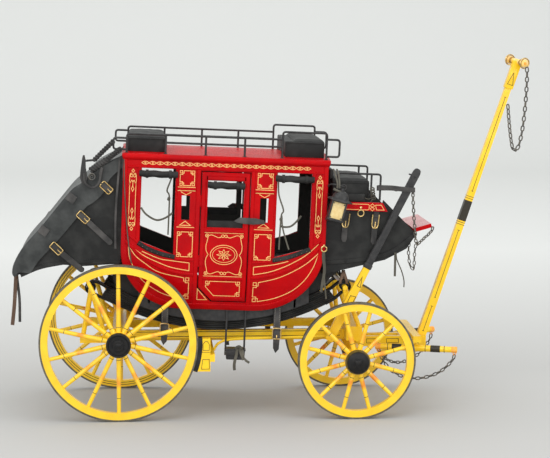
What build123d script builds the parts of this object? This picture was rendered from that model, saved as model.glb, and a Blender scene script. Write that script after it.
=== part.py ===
"""Scale model of a four-wheeled stagecoach with its pole raised.

X points forward, Y to the left and Z up, in millimetres.  Pieces are laid out from a datum
on the ground under the middle of the rear axle, and all are moved at the end so that the
origin is on the ground under the middle of the model.
"""
from build123d import *
import math
import os

# Wheels: radii outside the tyre; the rear axle stands higher than the front one
FRONT_RADIUS = 73.0
AXLE_RISE = 24.0
RIM_DEPTH = 8.5
RIM_WIDTH = 8.4
TYRE_THICK = 2.2
TYRE_WIDTH = 9.0
HUB_RADIUS = 14.5
HUB_WAIST = 11.5
HUB_HALF = 9.0
HUB_IN = 14.0
HUB_OUT = 13.0
CAP_RADIUS = 13.6
CAP_LENGTH = 5.0
CAP_WALL = 2.0
CAP_BOSS = 6.5
CAP_BOSS_LENGTH = 2.0
SPOKE_FOOT = 3.1
SPOKE_TIP = 2.4
REAR_SPOKES = 14
FRONT_SPOKES = 12
FULL_TURN = 360.0
SPINDLE_RADIUS = 4.0
FIT = 0.05
END_PLAY = 0.6
SEAT_IN = 0.6
SLACK = 0.3
OVERRUN = 20.0

# Running gear: square axle bars with beds, joined by the perch
AXLE_BAR = 8.0
AXLE_SHOULDER = 6.5
BED_INSET = 6.0
REAR_BED_HEIGHT = 10.0
REAR_BED_WIDTH = 16.0
FRONT_BED_WIDTH = 18.0
REACH_WIDTH = 10.0
REACH_HEIGHT = 10.0
HOUND_WIDTH = 8.0
HOUND_HEIGHT = 10.0
HOUND_GAP = 4.0
RUB_GAP = 0.5
BOLSTER_HEIGHT = 18.0
BOLSTER_WIDTH = 20.0
KINGPIN_RADIUS = 4.0
KINGPIN_HEAD = 7.0
KINGPIN_NUT = 4.0

# Coach body, level, before it is tipped nose down on its straps
BODY_TIP = 2.2
TIP_SHIFT = 2.0
BODY_LENGTH = 251.0
BODY_HEIGHT = 187.0
BODY_HALF = 84.0
BODY_TUCK = 14.0
TUCK_HEIGHT = 67.0
BODY_LIFT = 40.0
FRONT_AXLE_AHEAD = 42.0
WHEEL_CLEARANCE = 14.5
# How the side walls tuck in below the belt: (share of the height down, share of the tuck)
TUCK_SHARES = (
    (0.0, 0.0),
    (0.25, 0.06),
    (0.5, 0.25),
    (0.75, 0.56),
    (1.0, 1.0),
)
WALL = 3.0

# Radii of the body's two lower corners, seen from the side
REAR_CURVE = 75.0
FRONT_CURVE = 85.0

# Windows: shares of the body's length and height
# (left, right, bottom at left, bottom at right, top)
WINDOW_SHARES = (
    (0.09, 0.255, 0.4492, 0.369, 0.9305),
    (0.7514, 0.9203, 0.3717, 0.4385, 0.9305),
)
# Slots beside the door: shares of the body's length where they start
SLOT_LEFT_SHARES = (0.2876, 0.6709)
SLOT_WIDTH = 10.2
SLOT_BOTTOM_SHARE = 0.5989
SLOT_TOP_SHARE = 0.7594

DOOR_LEFT_SHARE = 0.3785
DOOR_RIGHT_SHARE = 0.6227
DOOR_TOP_SHARE = 0.9251
DOOR_BOTTOM = 10.5
DOOR_CUT = 17.5
DOOR_GAP = 1.2
DOOR_STILE = 8.2
DOOR_RAIL = 11.5
DOOR_WINDOW_SHARE = 0.5561

ROOF_THICK = 4.0
ROOF_CROWN = 4.0
ROOF_LIP = 2.0

# Bearers under the floor, a little wider than the thoroughbraces that they rest on
BEARER_SPILL = 4.0
BEARER_REAR = 24.0
BEARER_FRONT = 15.0

# Benches: (name, rear edge and front edge as shares of the body's length, top as a share of
# its height)
BENCH_SHARES = (
    ("bench_rear", 0.0558, 0.2231, 0.2995),
    ("bench_middle", 0.4382, 0.5578, 0.2781),
    ("bench_front", 0.7809, 0.9402, 0.2995),
)
BENCH_THICK = 12.0
BENCH_LEG = 4.0

CURTAIN_RADIUS = 4.2
CURTAIN_SPILL = 2.0

# Roof seats: (name, rear edge and front edge as shares of the body's length, top above the
# roof's rim as a share of the body's height)
ROOF_SEAT_SHARES = (
    ("roof_seat_rear", 0.0175, 0.1976, 0.1016),
    ("roof_seat_front", 0.788, 0.982, 0.1123),
)
ROOF_SEAT_INSET = 18.0
ROOF_SEAT_FOOT = 4.0

# Iron rails round the roof: heights above the roof's rim, and the loops past its ends
RAIL_RADIUS = 1.3
RAIL_BEND = 3.6
RAIL_INSET = 6.0
RAIL_END = 3.2
RAIL_LOW = 14.3
RAIL_HIGH = 23.5
RAIL_RAISED = 33.0
RAIL_LOOP = 16.0
REAR_LOOP_HEIGHT = 14.0
REAR_LOOP_DROP = 5.3
FRONT_LOOP_HEIGHT = 21.0
FRONT_LOOP_DROP = 7.4
# Where the rail's posts stand along the body, as shares of its length; the front one is
# where the raised rail starts
RAIL_POST_SHARES = (0.2012, 0.3964, 0.5869)
RAIL_STEP_SHARE = 0.7705

# Rear boot: corners of its side as shares of the boot's length back from the body and of
# the body's height
BOOT_LENGTH = 129.6
BOOT_INSET = 10.0
BOOT_WALL = 2.5
REAR_BOOT_SHARES = (
    (0.0, 1.0),
    (0.227, 0.919),
    (0.378, 0.812),
    (0.485, 0.754),
    (0.73, 0.531),
    (0.903, 0.38),
    (0.985, 0.274),
    (1.0, 0.183),
    (0.855, 0.216),
    (0.648, 0.273),
    (0.353, 0.264),
    (0.0, 0.289),
)
# Lower edge of the cover's turned-down sides, in the same shares, from the tail forward
COVER_EDGE_SHARES = (
    (0.855, 0.227),
    (0.72, 0.264),
    (0.643, 0.345),
    (0.464, 0.529),
    (0.339, 0.664),
    (0.214, 0.796),
    (0.06, 0.93),
)
COVER_THICK = 2.5

# Front boot: corners of its side as shares of its length and of the body's height
FRONT_BOOT_LENGTH = 115.0
FRONT_BOOT_INSET = 14.0
FRONT_BOOT_SHARES = (
    (0.0, 0.73),
    (0.60, 0.715),
    (0.62, 0.77),
    (1.0, 0.55),
    (0.90, 0.45),
    (0.67, 0.37),
    (0.52, 0.345),
    (0.0, 0.257),
)
BOARD_THICK = 5.0
BOARD_WIDTH = 10.0
BOARD_START_SHARE = 0.2
BOARD_END_SHARE = 0.58

FOOTBOARD_THICK = 5.0
FOOTBOARD_RUN = 23.0
FOOTBOARD_ANGLE = 18.0
FOOTBOARD_INSET = 16.0

SEAT_START = 6.0
SEAT_LENGTH = 48.0
SEAT_INSET = 8.0
SEAT_GAP = 2.5
SEAT_HEIGHT = 20.0
SEAT_CUSHION = 7.0
SEAT_LEG = 6.0
SEAT_RAIL_RISE = 11.0
SEAT_RAIL_REACH = 13.5
SEAT_RAIL_FOOT = 1.8

LANTERN_AHEAD = 15.5
LANTERN_GAP = 10.0
LANTERN_LEAN = 13.0
LANTERN_WIDTH = 19.0
LANTERN_DEPTH = 16.0
LANTERN_BOX = 28.0
LANTERN_BRIM = 14.0
LANTERN_BRIM_THICK = 2.0
LANTERN_DOME = 10.0
LANTERN_DOME_TOP = 4.5
LANTERN_CAP = 9.0
LANTERN_CHIMNEY = 3.0
LANTERN_CHIMNEY_RISE = 4.0
LANTERN_ARM = 5.0
LANTERN_DROP = 26.0

STEP_GAP = 15.0
STEP_WIDTH = 25.0
STEP_DEPTH = 15.0
STEP_DROP = 56.0
STEP_THICK = 3.0
STEP_BAR = 2.2

# Straps that hang from the body's sides: places as shares of its length
STRAP_SHARES = (0.239, 0.7809)
STRAP_WIDTH = 8.0
STRAP_THICK = 1.8
STRAP_DROP = 49.0

# Thoroughbraces, the thick leather straps that carry the body
BRACE_INSET = 8.0
BRACE_WIDTH = 14.0
BRACE_THICK = 12.0
BRACE_DROP = 26.5
BRACE_RISE = 37.3
BRACE_SHIFT = 3.0
BRACE_BACK = 20.0
BRACE_SHORT = 23.0
BRACE_TAIL = 18.0
BRACE_EYE = 12.0

STAND_RADIUS = 3.0
STAND_RISE = 53.5
STAND_BASE = 10.0
REAR_STAND_BACK = 48.0
REAR_STAND_TOP = 34.0
FRONT_STAND_BACK = 12.0
SHACKLE_RADIUS = 3.0

BRAKE_GAP = 6.0
BRAKE_WIDTH = 10.0
BRAKE_DEPTH = 9.0
SHOE_DROP = 35.0
SHOE_RISE = 6.0
SHOE_THICK = 9.0
PAD_THICK = 4.0
PAD_GAP = 1.0

LEVER_GAP = 8.0
LEVER_WIDTH = 9.0
LEVER_THICK = 5.0
LEVER_BACK = 31.0
LEVER_LIFT = 5.0
LEVER_AHEAD = 4.0
LEVER_BELOW = 11.0
LEVER_ROD = 2.0
LEVER_ROD_INSET = 20.0
LEVER_STRAP_REACH = 17.0
LEVER_STRAP_HEIGHT = 6.0
LEVER_STRAP_THICK = 1.6
LEVER_BAR = 7.0

FUTCHELL_IN = 6.6
FUTCHELL_WIDTH = 8.0
FUTCHELL_HEIGHT = 13.0
FUTCHELL_DROP = 7.5
FUTCHELL_REACH = 6.0
POLE_PIN_AHEAD = 13.0
POLE_PIN_RADIUS = 2.5
POLE_ANGLE = 71.4
POLE_LENGTH = 378.0
POLE_TAIL = 6.0
POLE_BUTT = 11.0
POLE_TIP = 7.6

SPLINTER_GAP = 8.0
SPLINTER_WIDTH = 10.0
SPLINTER_HEIGHT = 8.0
SPLINTER_SPILL = 8.0
TREE_Y = 54.0
TREE_LIFT = 4.6
TREE_RADIUS = 4.0
TREE_HALF = 52.0
TREE_PIN = 1.6
TREE_RIGHT_ANGLE = 73.0
TREE_LEFT_ANGLE = 59.0
SQUARE_ANGLE = 90.0
# Swingletrees: (side name, side sign, swing forward from square in degrees)
TREES = (("right", -1.0, TREE_RIGHT_ANGLE), ("left", 1.0, TREE_LEFT_ANGLE))

HEAD_BAR_RADIUS = 3.2
HEAD_BAR_HALF = 19.0
HEAD_SKEW = 20.0
HEAD_RING = 6.4
HEAD_WIRE = 1.1
HEAD_FLANGE = 5.0
HEAD_FLANGE_THICK = 2.0
HEAD_SLEEVE = 36.0

LINK_PITCH = 5.4
LINK_WIDTH = 3.8
LINK_WIRE = 1.3
LINK_LAP = 0.9
# A link that runs more than this share across the model is laid the other way
CROSSWISE_SHARE = 0.9

# Chain routes by hand.  Trace chains: shares of the swingletree's half length and of the sag
TRACE_SAG = 34.0
TRACE_SHARES = (
    (1.0, 0.0),
    (0.86, 0.3),
    (0.55, 0.75),
    (0.1, 1.0),
    (-0.35, 0.95),
    (-0.7, 0.6),
    (-0.92, 0.0),
)
# Pole chain, from the middle of the pole's cross bar: shares of the pole's length forward, of
# the bar's half length to the left, and of the pole's length up
POLE_CHAIN_SHARES = (
    (0.0157, -0.884, -0.0282),
    (0.0196, -0.974, -0.1264),
    (0.017, -1.0, -0.2322),
    (-0.0015, -0.895, -0.2957),
    (-0.02, -0.737, -0.2877),
    (-0.0266, -0.579, -0.2322),
    (-0.0295, -0.158, -0.1422),
)
# Chain from the lever's strap to the foot board: shares of the front boot's length from the
# body, of the boot's half width and of the body's height
LEVER_CHAIN_SHARES = (
    (0.9194, -1.114, 0.8267),
    (0.9363, -1.129, 0.7374),
    (0.949, -1.129, 0.6733),
    (0.9684, -1.114, 0.5989),
    (0.9817, -1.086, 0.5243),
    (1.0017, -1.043, 0.4818),
    (1.0826, -0.943, 0.516),
    (1.1797, -0.809, 0.561),
)

# Places that follow from the sizes
REAR_RADIUS = FRONT_RADIUS + AXLE_RISE
REAR_AXLE_Z = REAR_RADIUS
FRONT_AXLE_Z = FRONT_RADIUS
WHEELBASE = BODY_LENGTH + FRONT_AXLE_AHEAD
WHEEL_Y = BODY_HALF + WHEEL_CLEARANCE
AXLE_HALF = WHEEL_Y - HUB_IN - AXLE_SHOULDER
BED_HALF = AXLE_HALF - BED_INSET
REACH_TOP = REAR_AXLE_Z - AXLE_BAR / 2
REACH_BOTTOM = REACH_TOP - REACH_HEIGHT
FRONT_BED_TOP = REACH_BOTTOM - RUB_GAP
FRONT_BED_BOTTOM = FRONT_AXLE_Z + AXLE_BAR / 2
BOLSTER_TOP = REACH_TOP + BOLSTER_HEIGHT

BODY_BOTTOM = REACH_TOP + BODY_LIFT
BODY_TOP = BODY_BOTTOM + BODY_HEIGHT
DOOR_LEFT = BODY_LENGTH * DOOR_LEFT_SHARE
DOOR_RIGHT = BODY_LENGTH * DOOR_RIGHT_SHARE
DOOR_TOP = BODY_HEIGHT * DOOR_TOP_SHARE
DOOR_WINDOW_LEFT = DOOR_LEFT + DOOR_STILE
DOOR_WINDOW_RIGHT = DOOR_RIGHT - DOOR_STILE
DOOR_WINDOW_BOTTOM = BODY_HEIGHT * DOOR_WINDOW_SHARE
DOOR_WINDOW_TOP = DOOR_TOP - DOOR_RAIL

BRACE_OUT = BODY_HALF - BODY_TUCK - BRACE_INSET
BRACE_IN = BRACE_OUT - BRACE_WIDTH
BEARER_OUT = BRACE_OUT + BEARER_SPILL
BEARER_IN = BRACE_IN - BEARER_SPILL
HOUND_Y = BEARER_IN - HOUND_GAP
BRACE_REAR = -BRACE_BACK
BRACE_FRONT = WHEELBASE - BRACE_SHORT
BRACE_X = (BRACE_REAR + BRACE_FRONT) / 2 + BRACE_SHIFT
BRACE_LOW = BODY_BOTTOM - BRACE_DROP
BRACE_BEND = ((BRACE_FRONT - BRACE_X) ** 2 + BRACE_RISE ** 2) / (2 * BRACE_RISE)
REAR_STAND_X = -REAR_STAND_TOP
FRONT_STAND_X = WHEELBASE - FRONT_STAND_BACK
STAND_TOP = BRACE_LOW + STAND_RISE
TIP_X = BRACE_X + TIP_SHIFT
TIP_Z = BODY_BOTTOM

RAIL_HALF = BODY_HALF - RAIL_INSET
ROOF_SEAT_HALF = BODY_HALF - ROOF_SEAT_INSET
BOOT_HALF = BODY_HALF - BOOT_INSET
FRONT_BOOT_HALF = BODY_HALF - FRONT_BOOT_INSET
FOOTBOARD_HALF = FRONT_BOOT_HALF - FOOTBOARD_INSET
SEAT_HALF = FRONT_BOOT_HALF - SEAT_INSET
SEAT_LOW = BODY_BOTTOM + FRONT_BOOT_SHARES[0][1] * BODY_HEIGHT + BOARD_THICK + SEAT_GAP
SEAT_RAIL_X = BODY_LENGTH + SEAT_START + SEAT_LENGTH + SEAT_RAIL_REACH
LANTERN_X = BODY_LENGTH + LANTERN_AHEAD
LANTERN_Y = BODY_HALF + LANTERN_GAP
LANTERN_LOW = SEAT_LOW - LANTERN_DROP

BRAKE_X = REAR_RADIUS + BRAKE_GAP
LEVER_Y = FRONT_BOOT_HALF + LEVER_GAP
LEVER_LOW_X = WHEELBASE - LEVER_BACK
LEVER_LOW_Z = REACH_TOP + LEVER_LIFT
LEVER_TOP_X = BODY_LENGTH + FRONT_BOOT_LENGTH + LEVER_AHEAD
LEVER_TOP_Z = BODY_TOP - LEVER_BELOW
LEVER_ROD_Y = LEVER_Y - LEVER_ROD_INSET
LEVER_STRAP_X = BODY_LENGTH + SEAT_START + SEAT_LENGTH + LEVER_STRAP_REACH

SPLINTER_X = WHEELBASE + FRONT_RADIUS + SPLINTER_GAP
SPLINTER_HALF = TREE_Y + SPLINTER_SPILL
POLE_PIN_X = SPLINTER_X + POLE_PIN_AHEAD
FUTCHELL_END = POLE_PIN_X + FUTCHELL_REACH
FUTCHELL_LOW = FRONT_BED_TOP - FUTCHELL_DROP
FUTCHELL_HIGH = FUTCHELL_LOW + FUTCHELL_HEIGHT
POLE_PIN_Z = (FUTCHELL_LOW + FUTCHELL_HIGH) / 2
TREE_Z = FUTCHELL_LOW + TREE_LIFT


def block(x, y, z):
    """A box between two corners, each given as its limits along X, Y and Z."""
    middle = ((x[0] + x[1]) / 2, (y[0] + y[1]) / 2, (z[0] + z[1]) / 2)
    return Pos(*middle) * Box(x[1] - x[0], y[1] - y[0], z[1] - z[0])


def rod(start, end, radius):
    """A round bar between two points."""
    line = Vector(*end) - Vector(*start)
    face = Plane(origin=start, z_dir=line) * Circle(radius)
    return extrude(face, amount=line.length)


def bent_rod(points, radius, bend):
    """A round bar along straight runs, with its corners bent to a radius."""
    route = FilletPolyline(*points, radius=bend)
    face = Plane(origin=route @ 0, z_dir=route % 0) * Circle(radius)
    return sweep(face, path=route)


def beam(start, end, width, depth):
    """A square-edged bar between two points, its width along Y."""
    line = Vector(*end) - Vector(*start)
    face = Plane(origin=start, x_dir=(0, 1, 0), z_dir=line) * Rectangle(width, depth)
    return extrude(face, amount=line.length)


def outline(steps, place):
    """A closed face from line ends and arcs, each point sent through place."""
    edges = []
    here = place(steps[0][0], steps[0][1])
    for step in steps[1:] + steps[:1]:
        end = place(step[-2], step[-1])
        if len(step) == 4:
            edges.append(ThreePointArc(here, place(step[0], step[1]), end))
        else:
            edges.append(Line(here, end))
        here = end
    return make_face(edges)


def along_y(face, low, high):
    """A face in the XZ plane pulled into a solid between two places along Y."""
    return Pos(0, low, 0) * extrude(face, amount=high - low, dir=(0, 1, 0))


def along_x(face, low, high):
    """A face in the YZ plane pulled into a solid between two places along X."""
    return Pos(low, 0, 0) * extrude(face, amount=high - low, dir=(1, 0, 0))


def both_sides(shape):
    """The shape and its mirror image across the middle."""
    return shape + mirror(shape, about=Plane.XZ)


def tipped(shape):
    """A piece of the level body, tipped to the way the body hangs."""
    turn = Pos(TIP_X, 0, TIP_Z) * Rot(0, BODY_TIP, 0) * Pos(-TIP_X, 0, -TIP_Z)
    return turn * shape


def body_face(inset):
    """Side view of the body: square above, with its two lower corners rounded."""
    rear = REAR_CURVE - inset
    front = FRONT_CURVE - inset
    left = inset
    right = BODY_LENGTH - inset
    low = BODY_BOTTOM + inset
    turn = 1 - math.sqrt(0.5)
    steps = (
        (left, BODY_TOP),
        (left, low + rear),
        (left + rear * turn, low + rear * turn, left + rear, low),
        (right - front, low),
        (right - front * turn, low + front * turn, right, low + front),
        (right, BODY_TOP),
    )
    return outline(steps, lambda x, z: (x, 0, z))


def section(inset, thickness):
    """Cross-section of a side wall: upright above, tucked in below."""
    out = BODY_HALF - inset
    belt = BODY_BOTTOM + TUCK_HEIGHT
    edge = [(-out, BODY_TOP)]
    edge += [(-out + BODY_TUCK * y, belt - TUCK_HEIGHT * z) for z, y in TUCK_SHARES]
    edge.append((-out + BODY_TUCK, BODY_BOTTOM - OVERRUN))
    inner = [(y + thickness, z) for y, z in edge]
    return make_face(Polyline([(0, y, z) for y, z in edge + inner[::-1]], close=True))


def inside(inset):
    """Everything between the side walls, less a clearance."""
    gap = WALL + inset
    steps_half = section(gap, BODY_HALF - gap)
    right = along_x(steps_half, -OVERRUN, BODY_LENGTH + OVERRUN)
    lower = block(
        (-OVERRUN, BODY_LENGTH + OVERRUN),
        (-BODY_HALF + BODY_TUCK + gap, BODY_HALF - BODY_TUCK - gap),
        (BODY_BOTTOM - OVERRUN, BODY_TOP),
    )
    return right + mirror(right, about=Plane.XZ) + lower


def opening(corners):
    """A cutter through the right side wall from corners in the body's own measure."""
    face = make_face(Polyline([(x, 0, BODY_BOTTOM + z) for x, z in corners], close=True))
    return along_y(face, -BODY_HALF - OVERRUN, 0)


def door_corners(gap):
    left = DOOR_LEFT + gap
    right = DOOR_RIGHT - gap
    low = DOOR_BOTTOM + gap
    high = DOOR_TOP - gap
    return ((left, high), (left, low + DOOR_CUT), (left + DOOR_CUT, low), (right, low), (right, high))


def make_side():
    wall = along_x(section(0, WALL), -OVERRUN, BODY_LENGTH + OVERRUN)
    wall = wall & along_y(body_face(0), -BODY_HALF - OVERRUN, 0)
    for left, right, low_left, low_right, top in WINDOW_SHARES:
        shares = ((left, top), (left, low_left), (right, low_right), (right, top))
        wall -= opening([(BODY_LENGTH * x, BODY_HEIGHT * z) for x, z in shares])
    low = BODY_HEIGHT * SLOT_BOTTOM_SHARE
    high = BODY_HEIGHT * SLOT_TOP_SHARE
    for share in SLOT_LEFT_SHARES:
        left = BODY_LENGTH * share
        right = left + SLOT_WIDTH
        wall -= opening(((left, high), (left, low), (right, low), (right, high)))
    return wall - opening(door_corners(0))


def make_door():
    wall = along_x(section(0, WALL), -OVERRUN, BODY_LENGTH + OVERRUN)
    door = wall & opening(door_corners(DOOR_GAP))
    left = DOOR_WINDOW_LEFT
    right = DOOR_WINDOW_RIGHT
    low = DOOR_WINDOW_BOTTOM
    high = DOOR_WINDOW_TOP
    return door - opening(((left, high), (left, low), (right, low), (right, high)))


def body_band(start, end):
    """The end walls and floor: the body's outline, hollowed, between two places along X."""
    outer = along_y(body_face(0), -BODY_HALF, BODY_HALF)
    inner = along_y(body_face(WALL), -BODY_HALF, BODY_HALF)
    reach = block((start, end), (-BODY_HALF, BODY_HALF), (BODY_BOTTOM - OVERRUN, BODY_TOP + OVERRUN))
    top_cut = block(
        (WALL, BODY_LENGTH - WALL), (-BODY_HALF, BODY_HALF), (BODY_TOP - WALL - OVERRUN, BODY_TOP + OVERRUN)
    )
    return ((outer - inner - top_cut) & reach) & inside(0)


def make_roof():
    half = BODY_HALF + ROOF_LIP
    rim = BODY_TOP + ROOF_THICK
    steps = ((-half, BODY_TOP), (half, BODY_TOP), (half, rim), (0, rim + ROOF_CROWN, -half, rim))
    face = outline(steps, lambda y, z: (0, y, z))
    return along_x(face, -ROOF_LIP, BODY_LENGTH + ROOF_LIP)


def roof_height(y):
    """Height of the roof's crowned top at a place across it."""
    half = BODY_HALF + ROOF_LIP
    bend = (half * half + ROOF_CROWN * ROOF_CROWN) / (2 * ROOF_CROWN)
    return BODY_TOP + ROOF_THICK + ROOF_CROWN - bend + math.sqrt(bend * bend - y * y)


def brace_face():
    """Side view of one thoroughbrace: an arc band with a level tail at each end."""
    centre_z = BRACE_LOW + BRACE_BEND
    inner = BRACE_BEND - BRACE_THICK

    def on_arc(x, radius):
        return centre_z - math.sqrt(radius * radius - (x - BRACE_X) ** 2)

    steps = (
        (BRACE_REAR, on_arc(BRACE_REAR, BRACE_BEND)),
        (BRACE_X, BRACE_LOW, BRACE_FRONT, on_arc(BRACE_FRONT, BRACE_BEND)),
        (BRACE_FRONT, on_arc(BRACE_FRONT, inner)),
        (BRACE_X, BRACE_LOW + BRACE_THICK, BRACE_REAR, on_arc(BRACE_REAR, inner)),
    )
    return outline(steps, lambda x, z: (x, 0, z))


def make_bearers():
    """The shaped bearers under the body that rest on the thoroughbraces."""
    centre_z = BRACE_LOW + BRACE_BEND
    drum = rod((BRACE_X, -BODY_HALF, centre_z), (BRACE_X, BODY_HALF, centre_z), BRACE_BEND - BRACE_THICK)
    along = (BEARER_REAR, BODY_LENGTH - BEARER_FRONT)
    under = block(along, (-BEARER_OUT, -BEARER_IN), (BRACE_LOW, BODY_TOP))
    body = tipped(along_y(body_face(0), -BODY_HALF, BODY_HALF))
    piece = (under & drum) - body
    lowest = piece.solids().sort_by(Axis.Z)[0]
    return both_sides(lowest)


def make_bench(rear_share, front_share, top_share):
    rear = BODY_LENGTH * rear_share
    front = BODY_LENGTH * front_share
    high = BODY_BOTTOM + BODY_HEIGHT * top_share
    low = high - BENCH_THICK
    seat = block((rear, front), (-BODY_HALF, BODY_HALF), (low, high))
    middle = (rear + front) / 2
    leg = block((middle, middle + BENCH_LEG), (-BODY_HALF, BODY_HALF), (BODY_BOTTOM, low))
    keep = along_y(body_face(WALL), -BODY_HALF, BODY_HALF)
    return (seat + leg) & inside(SLACK) & keep


def make_curtains():
    """Rolled leather curtains under the window tops, inside the walls."""
    y = -BODY_HALF + WALL + CURTAIN_RADIUS + SLACK
    rolls = Part()
    for left, right, low_left, low_right, top in WINDOW_SHARES:
        z = BODY_BOTTOM + BODY_HEIGHT * top - CURTAIN_RADIUS
        start = BODY_LENGTH * left - CURTAIN_SPILL
        end = BODY_LENGTH * right + CURTAIN_SPILL
        rolls += rod((start, y, z), (end, y, z), CURTAIN_RADIUS)
    return both_sides(rolls)


def make_roof_seat(rear_share, front_share, rise_share):
    rear = BODY_LENGTH * rear_share
    front = BODY_LENGTH * front_share
    base = BODY_TOP + ROOF_THICK
    high = base + BODY_HEIGHT * rise_share
    half = ROOF_SEAT_HALF
    seat = block((rear, front), (-half, half), (base + ROOF_CROWN + SLACK, high))
    foot = block((rear + ROOF_SEAT_FOOT, front - ROOF_SEAT_FOOT), (-half, half), (base, high - WALL))
    return (seat + foot) - make_roof()


def make_roof_rails():
    """Iron rails along both sides of the roof, raised round the front seat."""
    y = -RAIL_HALF
    foot = roof_height(RAIL_HALF)
    base = BODY_TOP + ROOF_THICK
    low = base + RAIL_LOW
    high = base + RAIL_HIGH
    raised = base + RAIL_RAISED
    rear = RAIL_END
    front = BODY_LENGTH - RAIL_END
    rear_end = rear - RAIL_LOOP
    front_end = front + RAIL_LOOP
    step = BODY_LENGTH * RAIL_STEP_SHARE
    rear_top = high - REAR_LOOP_DROP
    rear_low = rear_top - REAR_LOOP_HEIGHT
    front_top = raised - FRONT_LOOP_DROP
    front_low = front_top - FRONT_LOOP_HEIGHT
    # Bent rods: places along and up, from end to end
    bent = (
        ((rear, foot), (rear, high), (step, high)),
        ((step, foot), (step, raised), (front, raised), (front, foot)),
        ((rear, rear_top), (rear_end, rear_top), (rear_end, rear_low), (rear, rear_low)),
        ((front, front_top), (front_end, front_top), (front_end, front_low), (front, front_low)),
    )
    rails = Part()
    for route in bent:
        rails += bent_rod([(x, y, z) for x, z in route], RAIL_RADIUS, RAIL_BEND)
    posts = [BODY_LENGTH * share for share in RAIL_POST_SHARES]
    rails += rod((posts[0], y, low), (step, y, low), RAIL_RADIUS)
    for x in posts:
        rails += rod((x, y, foot), (x, y, high), RAIL_RADIUS)
    return both_sides(rails) - make_roof()


def rear_boot_point(x_share, z_share):
    return (-x_share * BOOT_LENGTH, 0, BODY_BOTTOM + z_share * BODY_HEIGHT)


def make_rear_boot():
    """An open tray: two sides and a bottom, the leather cover lies on it."""
    face = outline(REAR_BOOT_SHARES, rear_boot_point)
    outer = along_y(face, -BOOT_HALF, BOOT_HALF)
    top_edge = [rear_boot_point(*corner) for corner in REAR_BOOT_SHARES[:7]]
    tail = rear_boot_point(*REAR_BOOT_SHARES[7])
    inner = offset(face, amount=-BOOT_WALL, kind=Kind.INTERSECTION)
    hollow = along_y(inner, -BOOT_HALF + BOOT_WALL, BOOT_HALF - BOOT_WALL)
    skin = outer - hollow
    lift = [(x, 0, z - COVER_THICK) for x, y, z in top_edge]
    above = lift + [(tail[0] - OVERRUN, 0, lift[-1][2]), (tail[0] - OVERRUN, 0, BODY_TOP + OVERRUN)]
    above.append((0, 0, BODY_TOP + OVERRUN))
    cut = along_y(make_face(Polyline(above, close=True)), -BOOT_HALF, BOOT_HALF)
    return skin - cut


def make_boot_cover():
    """The leather sheet over the rear boot, with its turned-down sides."""
    top_edge = [rear_boot_point(*corner) for corner in REAR_BOOT_SHARES[:7]]
    under = [(x, 0, z - COVER_THICK) for x, y, z in top_edge]
    sheet_face = make_face(Polyline(top_edge + under[::-1], close=True))
    low = [rear_boot_point(*corner) for corner in COVER_EDGE_SHARES]
    flap_face = make_face(Polyline(top_edge + low, close=True))
    half = BOOT_HALF + COVER_THICK
    sheet = along_y(sheet_face, -half, half)
    flap = along_y(flap_face, -half, -BOOT_HALF)
    return sheet + flap + mirror(flap, about=Plane.XZ)


def front_boot_point(x_share, z_share):
    return (BODY_LENGTH + x_share * FRONT_BOOT_LENGTH, 0, BODY_BOTTOM + z_share * BODY_HEIGHT)


def make_front_boot():
    """The driver's foot well: two sides and a bottom, open at the top."""
    face = outline(FRONT_BOOT_SHARES, front_boot_point)
    outer = along_y(face, -FRONT_BOOT_HALF, FRONT_BOOT_HALF)
    inner = offset(face, amount=-WALL, kind=Kind.INTERSECTION)
    hollow = along_y(inner, -FRONT_BOOT_HALF + WALL, FRONT_BOOT_HALF - WALL)
    back = front_boot_point(*FRONT_BOOT_SHARES[0])
    lip = front_boot_point(*FRONT_BOOT_SHARES[3])
    mouth = block(
        (back[0] + WALL, lip[0] - WALL * 2),
        (-FRONT_BOOT_HALF + WALL, FRONT_BOOT_HALF - WALL),
        (lip[2], BODY_TOP),
    )
    return outer - hollow - mouth


def make_boot_boards():
    """Red boards along the tops of the front boot's sides."""
    start = front_boot_point(BOARD_START_SHARE, 0)[0]
    end = front_boot_point(BOARD_END_SHARE, 0)[0]
    low = front_boot_point(*FRONT_BOOT_SHARES[0])[2]
    side = -FRONT_BOOT_HALF - BOARD_WIDTH / 2
    board = block((start, end), (side, side + BOARD_WIDTH), (low, low + BOARD_THICK))
    return both_sides(board)


def make_footboard():
    lip = front_boot_point(*FRONT_BOOT_SHARES[3])
    board = block((0, FOOTBOARD_RUN), (-FOOTBOARD_HALF, FOOTBOARD_HALF), (0, FOOTBOARD_THICK))
    return Pos(lip[0], 0, lip[2] + SLACK) * Rot(0, -FOOTBOARD_ANGLE, 0) * board


def make_driver_seat():
    start = BODY_LENGTH + SEAT_START
    end = start + SEAT_LENGTH
    foot = front_boot_point(*FRONT_BOOT_SHARES[0])[2] + BOARD_THICK
    seat = block((start, end), (-SEAT_HALF, SEAT_HALF), (SEAT_LOW, SEAT_LOW + SEAT_HEIGHT + SEAT_CUSHION))
    out = FRONT_BOOT_HALF
    riser = block((start, end - SEAT_LEG), (-out, -out + SEAT_LEG), (foot, SEAT_LOW + SEAT_LEG))
    arm = block((start, end - SEAT_LEG), (-out, -SEAT_HALF), (SEAT_LOW, SEAT_LOW + SEAT_LEG))
    side = riser + arm
    return seat + side + mirror(side, about=Plane.XZ)


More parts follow.
